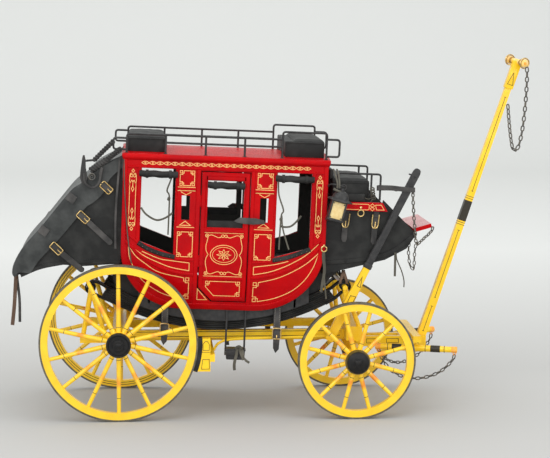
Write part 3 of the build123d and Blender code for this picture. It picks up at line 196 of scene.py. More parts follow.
class Maker:
    """Collects corners and faces in millimetres, and makes them into one object."""

    def __init__(self, place=plain, side=-1, high=0.25):
        self.place = place
        self.side = side
        self.high = high
        self.points = []
        self.faces = []
        self.looks = []
        self.look = 0

    def put(self, points, faces):
        base = len(self.points)
        self.points += [self.place(*p) for p in points]
        self.faces += [tuple(base + i for i in f) for f in faces]
        self.looks += [self.look] * len(faces)

    def skin(self, rings, loop=False):
        """Joins rings of as many corners each, with flat ends unless they close up."""
        wide = len(rings[0])
        count = len(rings)
        faces = []
        for i in range(count if loop else count - 1):
            j = (i + 1) % count
            for k in range(wide):
                m = (k + 1) % wide
                faces.append((i * wide + k, i * wide + m, j * wide + m, j * wide + k))
        if not loop:
            faces.append(tuple(reversed(range(wide))))
            faces.append(tuple(range((count - 1) * wide, count * wide)))
        self.put([p for ring in rings for p in ring], faces)

    def tube(self, path, radius, sides=10, loop=False):
        spots = [Vector(p) for p in path]
        rings = []
        aside = None
        for spot, ahead in zip(spots, directions(spots, loop)):
            if aside is None:
                aside = ahead.orthogonal().normalized()
            aside = (aside - ahead * aside.dot(ahead)).normalized()
            over = ahead.cross(aside)
            rings.append([spot + (aside * math.cos(a) + over * math.sin(a)) * radius for a in turns(sides)])
        self.skin(rings, loop)

    def strap(self, path, side, wide, thick, loop=False, edge=0.25):
        """A flat strip along a path; side is the direction of its width."""
        spots = [Vector(p) for p in path]
        shape = chamfered(wide / 2, thick / 2, min(edge * thick, wide * 0.2))
        rings = []
        for spot, ahead in zip(spots, directions(spots, loop)):
            across = Vector(side)
            across = (across - ahead * across.dot(ahead)).normalized()
            over = ahead.cross(across)
            rings.append([spot + across * a + over * b for a, b in shape])
        self.skin(rings, loop)

    def bent_tube(self, points, radius, sides=7, steps=5):
        self.tube(curve(points, steps), radius, sides)

    def bent_strap(self, points, side, wide, thick, steps=5, edge=0.25):
        self.strap(curve(points, steps), side, wide, thick, edge=edge)

    def ring(self, x, y, z, radius, wire, steps=24, sides=8):
        """A wire ring in an upright plane."""
        self.tube(upright(y, circle(x, z, radius, steps)), wire, sides, True)

    def plate(self, outline, thick, where):
        """A flat shape pulled to a thickness; where maps (u, v, w) to a point."""
        count = len(outline)
        points = [where(u, v, w) for w in (0, thick) for u, v in outline]
        faces = [tuple(range(count)), tuple(reversed(range(count, 2 * count)))]
        for k in range(count):
            m = (k + 1) % count
            faces.append((k, m, count + m, count + k))
        self.put(points, faces)

    def lathe(self, profile, centre, axis, sides):
        """A turned shape: (radius, distance along the axis) pairs."""
        ahead = Vector(axis).normalized()
        aside = ahead.orthogonal().normalized()
        over = ahead.cross(aside)
        middle = Vector(centre)
        rings = []
        for a in turns(sides):
            out = aside * math.cos(a) + over * math.sin(a)
            rings.append([middle + out * r + ahead * h for r, h in profile])
        self.skin(rings, True)

    def box(self, low, high):
        x, y, z = low
        p, q, r = high
        corners = ((x, y), (p, y), (p, q), (x, q))
        self.skin([[(a, b, c) for a, b in corners] for c in (z, r)])

    def line(self, path, wide, high=None, loop=False, wall=wall_y):
        """A raised strip on an upright wall along (x, z) places."""
        spots = even(path, LINE_GAP, loop)
        runs = [(b - a).normalized() for a, b in zip(spots, spots[1:] + spots[:1])]
        if not loop:
            runs[-1] = runs[-2]
        high = high or self.high
        w = wide / 2
        c = min(high * 0.6, w * 0.5)
        shape = ((-w, -SUNK), (-w, high - c), (-w + c, high), (w - c, high), (w, high - c), (w, -SUNK))
        rings = []
        for i, spot in enumerate(spots):
            one = runs[i - 1] if loop or i else runs[0]
            square = Vector((-one.y, one.x))
            mid = square + Vector((-runs[i].y, runs[i].x))
            mid = mid.normalized() if mid.length > 0.01 else square
            # at a corner the strip keeps its width, up to a sharp corner's limit
            mid = mid / max(0.35, mid.dot(square))
            ring = []
            for across, out in shape:
                p = spot + mid * across
                ring.append((p.x, self.side * (wall(p.y) + out), p.y))
            rings.append(ring)
        self.skin(rings, loop)

    def loops(self, paths, wide):
        for path in paths:
            self.line(path, wide, loop=True)

    def make(self, name, body, *looks, sharp=35, bevel=0):
        mesh = bpy.data.meshes.new(name)
        mesh.from_pydata([(p.x * MM + DATUM_X, p.y * MM, p.z * MM) for p in self.points], [], self.faces)
        work = bmesh.new()
        work.from_mesh(mesh)
        bmesh.ops.recalc_face_normals(work, faces=work.faces)
        work.to_mesh(mesh)
        work.free()
        mesh.polygons.foreach_set("material_index", self.looks)
        for look in looks:
            mesh.materials.append(look)
        mesh.shade_smooth()
        mesh.set_sharp_from_angle(angle=math.radians(sharp))
        thing = bpy.data.objects.new(name, mesh)
        bpy.context.scene.collection.objects.link(thing)
        if bevel:
            edge = thing.modifiers.new("edge", "BEVEL")
            edge.width = bevel * MM
            edge.segments = 2
            edge.limit_method = "ANGLE"
            edge.angle_limit = math.radians(40)
        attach(thing, body)
        return thing


# Materials

# Bump of paint in metres, the scale of its grain, and the shader's sockets by short names
FAINT = 0.00003
FINE_GRAIN = 900
SETTINGS = {
    "metal": "Metallic",
    "shine": "Specular IOR Level",
    "coat": "Coat Weight",
    "coat_rough": "Coat Roughness",
}


class Look:
    """A material in the making: its nodes and its shader."""

    def __init__(self, name):
        self.material = bpy.data.materials.new(name)
        self.material.use_nodes = True
        self.tree = self.material.node_tree
        self.shader = self.tree.nodes["Principled BSDF"]
        self.place = self.node("ShaderNodeTexCoord")

    def node(self, kind, **values):
        n = self.tree.nodes.new(kind)
        for key, value in values.items():
            if key in n.inputs:
                n.inputs[key].default_value = value
            else:
                setattr(n, key, value)
        return n

    def feed(self, socket, value):
        """Links an output to a socket, or sets the socket to a number or colour."""
        if isinstance(value, bpy.types.NodeSocket):
            self.tree.links.new(value, socket)
        else:
            socket.default_value = value

    def maths(self, operation, *values, kind="ShaderNodeMath", out=0):
        n = self.node(kind, operation=operation)
        for value, socket in zip(values, n.inputs):
            self.feed(socket, value)
        return n.outputs[out]

    def axes(self, kind):
        """The X, Y and Z of a place (Object) or of the way a face looks (Normal)."""
        n = self.node("ShaderNodeSeparateXYZ")
        self.feed(n.inputs[0], self.place.outputs[kind])
        return n.outputs

    def noise(self, scale, detail=3.0):
        n = self.node("ShaderNodeTexNoise", Scale=scale, Detail=detail)
        self.feed(n.inputs["Vector"], self.place.outputs["Object"])
        return n.outputs["Fac"]

    def ramp(self, value, low, high, a=0, b=1):
        """Maps value's span low..high onto a..b."""
        n = self.node("ShaderNodeMapRange")
        for name, given in zip(("Value", "From Min", "From Max", "To Min", "To Max"), (
            value, low, high, a, b,
        )):
            self.feed(n.inputs[name], given)
        return n.outputs["Result"]

    def mix(self, factor, a, b):
        n = self.node("ShaderNodeMix", data_type="RGBA")
        for name, given in (("Factor", factor), ("A", a), ("B", b)):
            self.feed(n.inputs[name], (*given, 1) if isinstance(given, tuple) else given)
        return n.outputs["Result"]

    def patches(self, colour, shade, scale, low=0.35, high=0.65):
        """Two close colours in soft patches."""
        return self.mix(self.ramp(self.noise(scale, 4.0), low, high), colour, shade)

    def colour(self, value):
        self.feed(self.shader.inputs["Base Color"], value)

    def rough(self, value):
        self.feed(self.shader.inputs["Roughness"], value)

    def bump(self, height, distance):
        n = self.node("ShaderNodeBump", Strength=1.0, Distance=distance)
        self.feed(n.inputs["Height"], height)
        self.feed(self.shader.inputs["Normal"], n.outputs["Normal"])

    def gloss(self, low, high, deep=FAINT):
        """Uneven gloss and a faint surface from one fine grain."""
        grain = self.noise(FINE_GRAIN)
        self.rough(self.ramp(grain, 0.3, 0.7, low, high))
        self.bump(grain, deep)

    def finish(self, **values):
        for key, value in values.items():
            self.shader.inputs[SETTINGS[key]].default_value = value
        return self.material


def paint(name, colour, shade, rough, metal=0, coat=0, shine=0.3, patch=60, deep=FAINT):
    """Paint or metal: two close colours in soft patches, uneven gloss and a faint surface."""
    look = Look(name)
    look.colour(look.patches(colour, shade, patch))
    look.gloss(rough * 0.8, rough * 1.25, deep)
    return look.finish(metal=metal, shine=shine, coat=coat, coat_rough=0.08)


def leather(name, colour, shade, rough, cell=900, deep=0.00008):
    """Leather: pebbled grain, lighter where it is rubbed, dull."""
    look = Look(name)
    cells = look.node("ShaderNodeTexVoronoi", Scale=cell)
    look.feed(cells.inputs["Vector"], look.place.outputs["Object"])
    wear = look.noise(55, 6.0)
    look.colour(look.mix(look.ramp(wear, 0.42, 0.72), colour, shade))
    look.rough(look.ramp(wear, 0.3, 0.7, rough * 0.85, rough * 1.15))
    creases = look.noise(160, 5.0)
    look.bump(look.maths("MULTIPLY_ADD", cells.outputs["Distance"], 0.35, creases), deep)
    return look.finish(shine=0.17)


def lined_red(name, middles):
    """Red gloss outside, and dark lining on the faces that look towards the coach's middle planes."""
    look = Look(name)
    spot = look.axes("Object")
    facing = look.axes("Normal")
    parts = [
        look.maths("MULTIPLY", look.maths("SUBTRACT", middle, spot[axis]), facing[axis])
        for axis, middle in middles
    ]
    total = look.maths("ADD", *parts) if len(parts) > 1 else parts[0]
    within = look.maths("GREATER_THAN", total, 0.035)
    look.colour(look.mix(within, look.patches(RED, DARK_RED, 40), LINING))
    look.rough(look.ramp(within, 0, 1, 0.3, 0.7))
    look.bump(look.noise(FINE_GRAIN), FAINT)
    return look.finish(shine=0.06, coat=0.05, coat_rough=0.08)


def sheen_topped_red(name):
    """Red gloss whose upper face is painted pale: a painted reflection of a light surface above."""
    look = Look(name)
    upper = look.ramp(look.axes("Normal")["Z"], 0.5, 0.8)
    # painted reflection: the pale colour that the upward faces get, in soft patches
    painted_sheen = look.patches((0.50, 0.24, 0.24), (0.58, 0.36, 0.35), 70, 0.3, 0.7)
    look.colour(look.mix(upper, RED, painted_sheen))
    look.gloss(0.24, 0.36)
    return look.finish(shine=0.06)


def band(look, value, middle, half, soft):
    """1 where value lies within half of middle, fading out over soft."""
    away = look.maths("ABSOLUTE", look.maths("SUBTRACT", value, middle))
    return look.ramp(away, half, half + soft, 1, 0)


def wheel_paint(name, x, radius, side, painted_sheen, rings, rim_rings):
    """Yellow paint, worn orange along the spokes, with thin black rings at set radii."""
    look = Look(name)
    vector = "ShaderNodeVectorMath"
    centre = (x * MM + DATUM_X, 0, radius * MM)
    away = look.maths("SUBTRACT", look.place.outputs["Object"], centre, kind=vector)
    flat = look.maths("MULTIPLY", away, (1, 0, 1), kind=vector)
    far = look.maths("LENGTH", flat, kind=vector, out="Value")
    base = look.patches(YELLOW, DEEP_YELLOW, 70)
    patch = look.ramp(look.noise(90), 0.35, 0.6, 0.1, 0.8)
    spread = look.maths("MULTIPLY", band(look, far, painted_sheen * MM, 3 * MM, 5.5 * MM), patch)
    found = look.mix(spread, base, WORN_ORANGE)
    for ring in rings:
        found = look.mix(band(look, far, ring * MM, 0.32 * MM, 0.1 * MM), found, LINE_BLACK)
    if rim_rings:
        outer = look.ramp(look.axes("Normal")["Y"], -side * 0.6, -side * 0.7)
        for ring in rim_rings:
            line = look.maths("MULTIPLY", band(look, far, ring * MM, 0.35 * MM, 0.1 * MM), outer)
            found = look.mix(line, found, LINE_BLACK)
    look.colour(found)
    look.gloss(0.26, 0.4)
    return look.finish(coat=0.2, coat_rough=0.1)


RED = (0.47, 0.0015, 0.003)
DARK_RED = (0.38, 0.0015, 0.004)
LINING = (0.05, 0.05, 0.045)
YELLOW = (0.92, 0.60, 0.016)
DEEP_YELLOW = (0.88, 0.53, 0.012)
WORN_ORANGE = (0.80, 0.20, 0.02)
LINE_BLACK = (0.03, 0.025, 0.01)

red = paint("red_gloss", RED, DARK_RED, 0.3, coat=0.05, shine=0.06, patch=40)
yellow = paint("yellow_gloss", YELLOW, DEEP_YELLOW, 0.3, coat=0.25, patch=70)
black = paint("black_paint", (0.018, 0.018, 0.019), (0.035, 0.034, 0.033), 0.35, patch=150)
iron = paint("dark_iron", (0.10, 0.10, 0.095), (0.17, 0.15, 0.12), 0.5, 0.7, patch=220, deep=0.00006)
tyre_iron = paint("tyre_iron", (0.09, 0.085, 0.07), (0.16, 0.14, 0.10), 0.55, 0.5, patch=180, deep=0.00008)
brass = paint("brass", (0.75, 0.55, 0.24), (0.5, 0.34, 0.13), 0.3, 1, patch=300)
gilt = paint("gilt_line", (0.80, 0.44, 0.12), (0.88, 0.56, 0.22), 0.4, patch=500)
iron_black = paint(
    "black_iron_rod", (0.022, 0.022, 0.022), (0.045, 0.044, 0.042), 0.38, 0.2, patch=200, deep=0.00004
)
hub_black = paint("hub_black", (0.006, 0.006, 0.006), (0.014, 0.013, 0.012), 0.34, shine=0.22, patch=240)
hub_brown = paint("hub_brown", (0.07, 0.05, 0.012), (0.13, 0.09, 0.02), 0.4, patch=260)
line_black = paint("line_black", (0.02, 0.017, 0.01), (0.03, 0.025, 0.015), 0.4, patch=400)
orange = paint("worn_orange", (0.90, 0.33, 0.04), (0.92, 0.45, 0.08), 0.4, patch=260)
pale_yellow = paint("pale_yellow", (0.90, 0.62, 0.30), (0.88, 0.58, 0.12), 0.35, patch=260)
thread = paint("waxed_thread", (0.22, 0.21, 0.18), (0.30, 0.28, 0.24), 0.7, patch=400)
pane_glass = paint("amber_pane", (0.78, 0.62, 0.30), (0.70, 0.50, 0.20), 0.25, patch=260)
hide = leather("black_leather", (0.014, 0.0142, 0.0135), (0.034, 0.0342, 0.032), 0.5)
strap_hide = leather("strap_leather", (0.035, 0.034, 0.033), (0.09, 0.085, 0.08), 0.55, 1400, 0.00005)
shiny_hide = leather("polished_leather", (0.03, 0.032, 0.031), (0.066, 0.069, 0.066), 0.36, 700, 0.00006)
brown_hide = leather("brown_leather", (0.10, 0.06, 0.04), (0.17, 0.11, 0.075), 0.6, 1300, 0.00005)
lace_hide = leather("lace_leather", (0.07, 0.065, 0.05), (0.13, 0.12, 0.095), 0.6, 1500, 0.00004)

body_middle = level(BODY_LONG / 2, 0, 235)
red_side = lined_red("red_side", (("Y", 0),))
red_end = lined_red("red_end", (("X", body_middle.x * MM + DATUM_X), ("Z", body_middle.z * MM)))

# The finish of each CAD node; a name that ends in _ stands for all that start with it
LOOKS = (
    (red_side, "side_ door_"),
    (red_end, "rear_wall front_wall floor"),
    (red, "roof boot_boards"),
    (sheen_topped_red("footboard_red"), "footboard"),
    (tyre_iron, "tyre_"),
    (yellow, "wheel_ swingletree_ reach rear_axle front_axle futchells splinter_bar pole brake_beam"),
    (yellow, "rear_stand front_stand pole_head"),
    (iron, "trace_chain_ pole_chain lever_chain"),
    (black, "hub_cap_ roof_rails seat_rails steps brake_lever kingpin lantern_ body_bearers"),
)


def cad_look(name):
    for look, words in LOOKS:
        for word in words.split():
            if name == word or (word.endswith("_") and name.startswith(word)):
                return look
    return hide


for name, thing in nodes.items():
    for slot in thing.material_slots:
        slot.material = cad_look(name)

# Coach body: mouldings, gilt lines and ornaments


def rim_path(inset):
    """The body's outline seen from the side, moved in."""
    low = BODY_LOW + inset
    path = [(inset, 212)]
    for x, radius, start in ((75, 75, 180), (BODY_LONG - 85, 85, 270)):
        for k in range(15):
            a = math.radians(start + 90 * k / 14)
            path.append((
                x + (radius - inset) * math.cos(a),
                BODY_LOW + radius + (radius - inset) * math.sin(a),
            ))
    path.append((BODY_LONG - inset, 222))
    return [(x, max(z, low)) for x, z in path]


# Raised wooden mouldings on each side wall: (width, points as places along and up the body)
WALL_MOULDINGS = (
    (5.6, ((2.8, 210), (2.8, 317))),
    (5.6, ((248.2, 219), (248.2, 317))),
    (2.6, ((5.6, 308.3), (245.4, 308.3))),
    (4.8, ((20.1, 217), (20.1, 307.2))),
    (2.4, ((65.3, 200), (65.3, 307.2))),
    (5.4, ((92.2, 137), (92.2, 307.2))),
    (4.8, ((158.9, 137), (158.9, 307.2))),
    (2.4, ((186.8, 200), (186.8, 307.2))),
    (4.8, ((233.5, 214), (233.5, 307.2))),
    (2.6, ((66.4, 283), (89.6, 283))),
    (2.6, ((161.2, 283), (185.7, 283))),
    (3.2, ((66.4, 233.6), (89.6, 233.6))),
    (3.2, ((161.2, 233.6), (185.7, 233.6))),
    (2.6, ((66.4, 196.4), (89.6, 195.6))),
    (2.6, ((161.2, 194.4), (185.7, 196.6))),
)
# Curved belt mouldings: (width, points)
BELT_MOULDINGS = (
    (3.6, ((5.4, 217.5), (18, 204.5), (30, 195.6), (45, 187.2), (62, 181), (76, 178.4), (89.6, 177.2))),
    (3.6, (
        (245.8, 219.5), (236, 208), (220, 195.4), (204, 186.2), (186, 179.6), (172, 176.6), (161.2, 175.2),
    )),
    (2.2, ((5.4, 226.5), (17, 218), (22, 214))),
    (2.2, ((231, 213), (238, 218.6), (246, 225.6))),
)
# Gilt lines on the side walls; the curves pass through their points
GILT_CURVES = (
    ((13.2, 209.9), (28, 199.6), (44, 192.4), (62.1, 185.9), (84.3, 182.3)),
    ((26, 204.6), (47.7, 196.2), (62.2, 194.2), (84.3, 192)),
    ((10.5, 209.8), (18, 199.2), (28.7, 190.8), (47.7, 179.3), (78, 173.2)),
    (
        (9.3, 209.5), (10.6, 198.5), (15.5, 186), (22, 175), (32, 164.6), (49.4, 153.6), (66, 148.2),
        (79, 146.2),
    ),
    ((163.6, 179.8), (182.9, 183.8), (201, 190.7), (215.5, 198.4), (229, 207.4), (242.5, 220.5)),
    ((163.6, 189.4), (179.2, 191.7), (191.9, 194), (206, 198)),
    ((170.4, 170), (191.9, 175.7), (210, 184), (228.2, 195.4), (243.2, 209.2)),
    (
        (243.4, 208.6), (241.6, 203.5), (237.2, 191.2), (228.2, 175.9),
        (215.5, 162.9), (201, 154.2), (186.4, 148.7), (170.4, 145.2),
    ),
)
GILT_RUNS = (
    ((84.3, 182.3), (84.3, 192)),
    ((163.6, 179.8), (163.6, 189.4)),
    ((84.6, 167), (84.6, 152)),
    ((164.2, 163.6), (164.2, 151.2)),
    ((66.9, 285.2), (88.6, 285.2)),
    ((66.9, 236), (88.6, 236)),
    ((162.2, 285.2), (184.8, 285.2)),
    ((162.2, 236), (184.8, 236)),
    ((66.9, 281), (88.6, 281)),
    ((162.2, 281), (184.8, 281)),
    ((70.8, 279.6), (77.3, 275.8), (83.8, 279.6)),
    ((167, 279.6), (173.5, 275.8), (180, 279.6)),
)
GILT_LOOPS = (
    ((95.6, 159.6), (95.6, 145.6), (107.6, 145.6)),
    ((70.6, 238.4), (84, 238.4), (77.3, 243.4)),
    ((166.8, 238.4), (180.2, 238.4), (173.5, 243.4)),
)
# Frames with stepped corners: (left, low, right, high)
KEY_FRAMES = (
    (69.3, 287.2, 87, 305.4),
    (164.6, 287.2, 183.2, 305.4),
    (68.4, 199.6, 87.2, 230.2),
    (163.4, 198.6, 183.6, 230.2),
)
# Single stepped corners: (x, z, way along, way up, size)
KEY_CORNERS = (
    (84.6, 173.2, -1, -1, 6.2),
    (84.6, 146.2, -1, 1, 6),
    (164.2, 169.8, 1, -1, 6.2),
    (164.2, 145, 1, 1, 6.2),
)
# Corner pillars: (left, right, low, high)
PILLARS = ((8.2, 16, 232, 303), (237.4, 244.4, 230.5, 303))
# The top band: where it starts, how long it is, its middle's height, and how many half waves it holds
FRIEZE_X = 22
FRIEZE_LONG = 207
FRIEZE_Z = 313.3
FRIEZE_WAVES = 23
SILLS = (
    ((20.8, 215.2), (32, 208.6), (48, 202.6), (66, 198.9)),
    ((186.4, 198.6), (204, 202.6), (219, 208.2), (232.4, 214)),
)
NAIL = ((0.01, 0.7), (0.35, 0.6), (0.6, 0.3), (0.7, -0.1), (0.01, -0.1))
# Gilt lines: usual width, and the scrolls' width
GILT_WIDE = 0.85
SCROLL_WIDE = 0.75


def key_corner(x, z, u, v, size):
    """A stepped corner with a small square in it: the step's points, then the square."""
    a = size * 0.68
    b = size * 0.62
    step = [(0, size), (a, size), (a, a), (size, a), (size, 0)]
    square = [(0, 0), (b, 0), (b, b), (0, b)]
    return [[(x + u * p, z + v * q) for p, q in shape] for shape in (step, square)]


def key_frame(left, low, right, high, size):
    """A line frame with stepped corners; returns the outline and the four squares."""
    outline = []
    squares = []
    for x, z, u, v in ((left, low, 1, 1), (right, low, -1, 1), (right, high, -1, -1), (left, high, 1, -1)):
        step, square = key_corner(x, z, u, v, size)
        outline += step if u == v else step[::-1]
        squares.append(square)
    return outline, squares


def pillar_ornament(left, right, low, high):
    """Tall ornament: double line with lyre scrolls and drops at both ends."""
    middle = (left + right) / 2
    half = (right - left) / 2
    loops = []
    curves = []
    for end, turn in ((high, -1), (low, 1)):
        near = end + turn * 3
        loops += [diamond(middle, end, 1.7, 2.1), diamond(middle, near + turn * 19, 1.5, 3.2)]
        lyre = ((1, 15), (1, 3), (0.5, 0), (0, 4))
        branch = ((0.8, 12), (0.3, 8.5), (0, 11.5))
        for u in SIDES:
            loops.append(circle(middle + u * half * 0.45, near + turn * 3, half * 0.42, 10))
            for shape in (lyre, branch):
                curves.append([(middle + u * half * a, near + turn * b) for a, b in shape])
        curves.append([(middle, near + turn * 11.5), (middle, near + turn * 15.8)])
    for x, lean in ((left, 0.2), (right, -0.2)):
        curves.append([(x, low + 14), (x + lean, (low + high) / 2), (x, high - 14)])
    return loops, curves


def body_side(side):
    word = SIDE_NAMES[side]
    wood = Maker(level, side)
    for wide, path in WALL_MOULDINGS:
        wood.line(path, wide, 1.2)
    for wide, path in BELT_MOULDINGS:
        wood.line(curve(path), wide, 1.3)
    wood.line(rim_path(3.9), 7.8, 1.6)
    top = side * (HALF - 1)
    wood.tube(((-1, top, 320.6), (BODY_LONG + 1, top, 320.6)), 4.2, 12)
    wood.make("body_mouldings_" + word, "coach", red)

    lines = Maker(level, side)
    for path in GILT_CURVES:
        lines.line(curve(path, 6), 0.95)
    for path in GILT_RUNS:
        lines.line(path, GILT_WIDE)
    lines.loops(GILT_LOOPS, GILT_WIDE)
    for frame_box in KEY_FRAMES:
        outline, squares = key_frame(*frame_box, 4.6)
        lines.loops([outline], GILT_WIDE)
        lines.loops(squares, SCROLL_WIDE)
    for corner in KEY_CORNERS:
        step, square = key_corner(*corner)
        lines.line(step, GILT_WIDE)
        lines.loops([square], 0.8)
    for pillar in PILLARS:
        loops, curves = pillar_ornament(*pillar)
        lines.loops(loops, SCROLL_WIDE)
        for path in curves:
            lines.line(curve(path, 4), SCROLL_WIDE)
    # the top band has no words: two plain waves that cross run along it
    for turn in SIDES:
        wave = []
        for k in range(181):
            share = k / 180
            height = 1.9 * math.sin(share * FRIEZE_WAVES * math.pi)
            wave.append((FRIEZE_X + FRIEZE_LONG * share, FRIEZE_Z + turn * height))
        lines.line(wave, 0.8)
    for k in range(FRIEZE_WAVES):
        x = FRIEZE_X + FRIEZE_LONG * (k + 0.5) / FRIEZE_WAVES
        lines.loops([diamond(x, FRIEZE_Z, 0.9, 1)], 0.7)
    lines.make("gilt_lines_" + word, "coach", gilt)

    sill = Maker(level, side)
    nails = Maker(level)
    for path in SILLS:
        run = curve(path)
        sill.line(run, 5.6, 2.4)
        for p in run[1:-1:2]:
            nails.lathe(NAIL, (p.x, side * (wall_y(p.y) + 2.4), p.y - 0.6), (0, side, 0), 8)
    sill.make("window_sills_" + word, "coach", hide)
    nails.make("sill_nails_" + word, "coach", iron)


# Doors: mouldings as (width, points), and the upper panel's middle
DOOR_EDGE = ((98.9, 302.2), (98.9, 163), (114.6, 147.3), (152.4, 147.3), (152.4, 302.2))
DOOR_MOULDINGS = (
    (5.6, ((101, 233.6), (150.6, 233.6))),
    (3.8, ((101, 173.6), (150.6, 173.6))),
    (2.6, ((102.6, 236), (102.6, 300))),
    (2.6, ((149.4, 236), (149.4, 300))),
    (5.6, ((101, 297.6), (150.6, 297.6))),
)
PANEL_X = 126.2
PANEL_Z = 203.4
LATCH = (
    (137, 246), (143.5, 250.6), (164, 250.2), (174, 248), (175.5, 243.8), (160, 242.4), (149, 243),
    (140.5, 244),
)
HINGE_X = 95
HINGE = (
    (0.01, 0), (1.5, 0), (1.5, 4.4), (1.2, 4.6), (1.5, 4.8), (1.5, 9.2), (1.2, 9.4), (1.5, 9.6), (1.5, 14),
    (0.01, 14),
)


def door_scrolls(lines):
    """The upper panel: scrolls in its corners round a plain rosette in an oval."""
    for u in SIDES:
        for v in SIDES:
            x = PANEL_X - u * 21.2
            z = PANEL_Z + v * 23.4
            inner = PANEL_X - u * 7
            lines.loops([circle(x, z, 2, 10)], SCROLL_WIDE)
            lines.loops([circle(x, z, 0.7, 6)], 0.6)
            lines.loops([circle(PANEL_X - u * 1.9, PANEL_Z + v * 23.2, 1.7, 8)], 0.7)
            across = (
                (x + u * 2, z), (x + u * 6, z + v * 0.8), (inner, z - v * 2.2),
                (inner + u * 4.2, z - v * 0.5),
            )
            places = ((1.2, 2), (0.2, 7), (-1, 13), (-0.4, 19))
            down = [(x + u * a, z - v * b) for a, b in places] + [(x + u * 2, PANEL_Z)]
            lines.line(curve(across), 0.8)
            lines.line(curve(down), 0.8)
    lines.loops([circle(PANEL_X, PANEL_Z, 16.5, 36, 12)], 0.8)
    lines.loops([circle(PANEL_X, PANEL_Z, 13.8, 36, 9.4)], 0.55)
    for a in turns(8):
        ray = [(PANEL_X, PANEL_Z)]
        for wide, high, swing in ((4.6, 4, 0.33), (8.6, 6.6, 0), (4.6, 4, -0.33)):
            ray.append((PANEL_X + wide * math.cos(a + swing), PANEL_Z + high * math.sin(a + swing)))
        lines.loops([ray], 0.6)


def door_side(side):
    word = SIDE_NAMES[side]
    body = "door_" + word
    wood = Maker(level, side, 1.3)
    wood.loops([DOOR_EDGE], 5.2)
    for wide, path in DOOR_MOULDINGS:
        wood.line(path, wide)
    wood.make("door_mouldings_" + word, body, red)

    lines = Maker(level, side)
    for z in (230.4, 176.4):
        lines.line(((101.8, z), (149.8, z)), 0.7)
    door_scrolls(lines)
    # the lower panel's frame has one corner cut off
    outline, squares = key_frame(105.4, 151.4, 147.4, 169.8, 4.8)
    kept = [p for p in outline if not (p[0] < 112 and p[1] < 158)]
    lines.line(kept, GILT_WIDE)
    lines.line([kept[-1], (105.4, 162.6), (115.8, 151.4), kept[0]], GILT_WIDE)
    lines.loops(squares[1:], SCROLL_WIDE)
    lines.make("door_gilt_lines_" + word, body, gilt)

    latch = Maker(level)
    latch.plate(LATCH, 1.4, lambda u, v, w: (u, side * (HALF + 1.5 + w + 0.6 * math.sin((u - 137) / 12)), v))
    latch.make("door_latch_strap_" + word, body, strap_hide, bevel=0.3)

    hinge = Maker(level)
    for low in (188, 262):
        hinge.lathe(HINGE, (HINGE_X, side * HALF, low), (0, 0, 1), 16)
        near, far = sorted((side * (HALF + 0.9), side * (HALF + 1.5)))
        hinge.box((HINGE_X + 1.4, near, low + 1), (HINGE_X + 6, far, low + 13))
    hinge.make("door_hinges_" + word, body, red)

    roll = Maker(level)
    roll_curtain(roll, 103.2, 149, 289.4, side)
    roll.make("door_curtain_" + word, body, hide)
    pad = Maker(level)
    shape = ((103, 236), (149.4, 236), (149.4, 245.4), (103, 245))
    pad.plate(shape, 1.6, lambda u, v, w: (u, side * (HALF - 3.4 - w), v))
    pad.make("door_window_pad_" + word, body, hide, bevel=0.4)


def roll_curtain(maker, start, end, z, side):
    """A rolled leather curtain: a spiral roll with soft dents and two small straps."""
    middle = side * (HALF + 3.4)
    rings = []
    steps = 26
    for i in range(steps + 1):
        t = i / steps
        x = start + (end - start) * t
        bulge = math.sin(math.pi * t)
        ring = []
        for a in turns(18):
            r = 4.1 + 0.35 * math.sin(3 * a + 9 * t) * bulge + 0.25 * math.sin(17 * t + a)
            if i in (0, steps):
                r *= 0.86
            ring.append((x, middle + r * math.cos(a), z - 0.5 * bulge + r * math.sin(a)))
        rings.append(ring)
    maker.skin(rings)
    for t in (0.2, 0.8):
        x = start + (end - start) * t
        path = [(x, y, h) for y, h in circle(middle, z - 0.3, 4.7, 20, 4.9)]
        maker.strap(path, (1, 0, 0), 3.4, 0.6, loop=True)


def window_curtains():
    for side in SIDES:
        roll = Maker(level)
        roll_curtain(roll, 19.6, 66.6, 300.6, side)
        roll_curtain(roll, 186, 233.6, 300.4, side)
        thing = roll.make("window_curtains_" + SIDE_NAMES[side], "coach", hide)
        if side < 0:
            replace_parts(thing, "curtain_rolls")


for side in SIDES:
    body_side(side)
    door_side(side)
window_curtains()

# Rails, seats and lanterns

ROD = 1.35
RAIL_FOOT = ((0.01, 1.3), (1.6, 1.2), (2.7, 0.5), (2.8, -0.3), (0.01, -0.3))
# Roof rails on each side: y, the roof's top, and the rods as (x, z) points
ROOF_RAIL_Y = 78
ROOF_TOP = 324.3
RAIL_TOP = 347.5
POSTS = (3.2, 50.5, 99.5, 147.3, 193.4, 247.8)
ROOF_RODS = (
    ((POSTS[0], ROOF_TOP), (POSTS[0], RAIL_TOP), (POSTS[4], RAIL_TOP)),
    ((POSTS[0], 342.2), (-13, 342.2), (-13, 328.2), (POSTS[0], 328.2)),
    ((POSTS[1], 338.3), (POSTS[4], 338.3)),
    ((POSTS[4], ROOF_TOP), (POSTS[4], 357), (POSTS[5], 357), (POSTS[5], ROOF_TOP)),
    ((POSTS[5], 349.6), (263.6, 349.6), (263.6, 328.6), (POSTS[5], 328.6)),
) + tuple(((x, ROOF_TOP), (x, RAIL_TOP)) for x in POSTS[1:4])
SEAT_RODS = (
    ((265, 281), (265, 308), (318.5, 308), (318.5, 275.5)),
    ((307, 308), (307, 281)),
)


def rails(name, rods, y, feet):
    """Iron rods on both sides, each foot a (profile, (x, y, z), axis, sides)."""
    maker = Maker(level)
    for side in SIDES:
        for rod in rods:
            maker.tube(rounded(upright(side * y, rod), 3.6), ROD)
        for profile, x, z, axis, sides in feet:
            maker.lathe(profile, (x, side * y, z), (0, side * axis[1], axis[2]), sides)
    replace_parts(maker.make(name[:-1] + "_rods", "coach", iron_black), name)


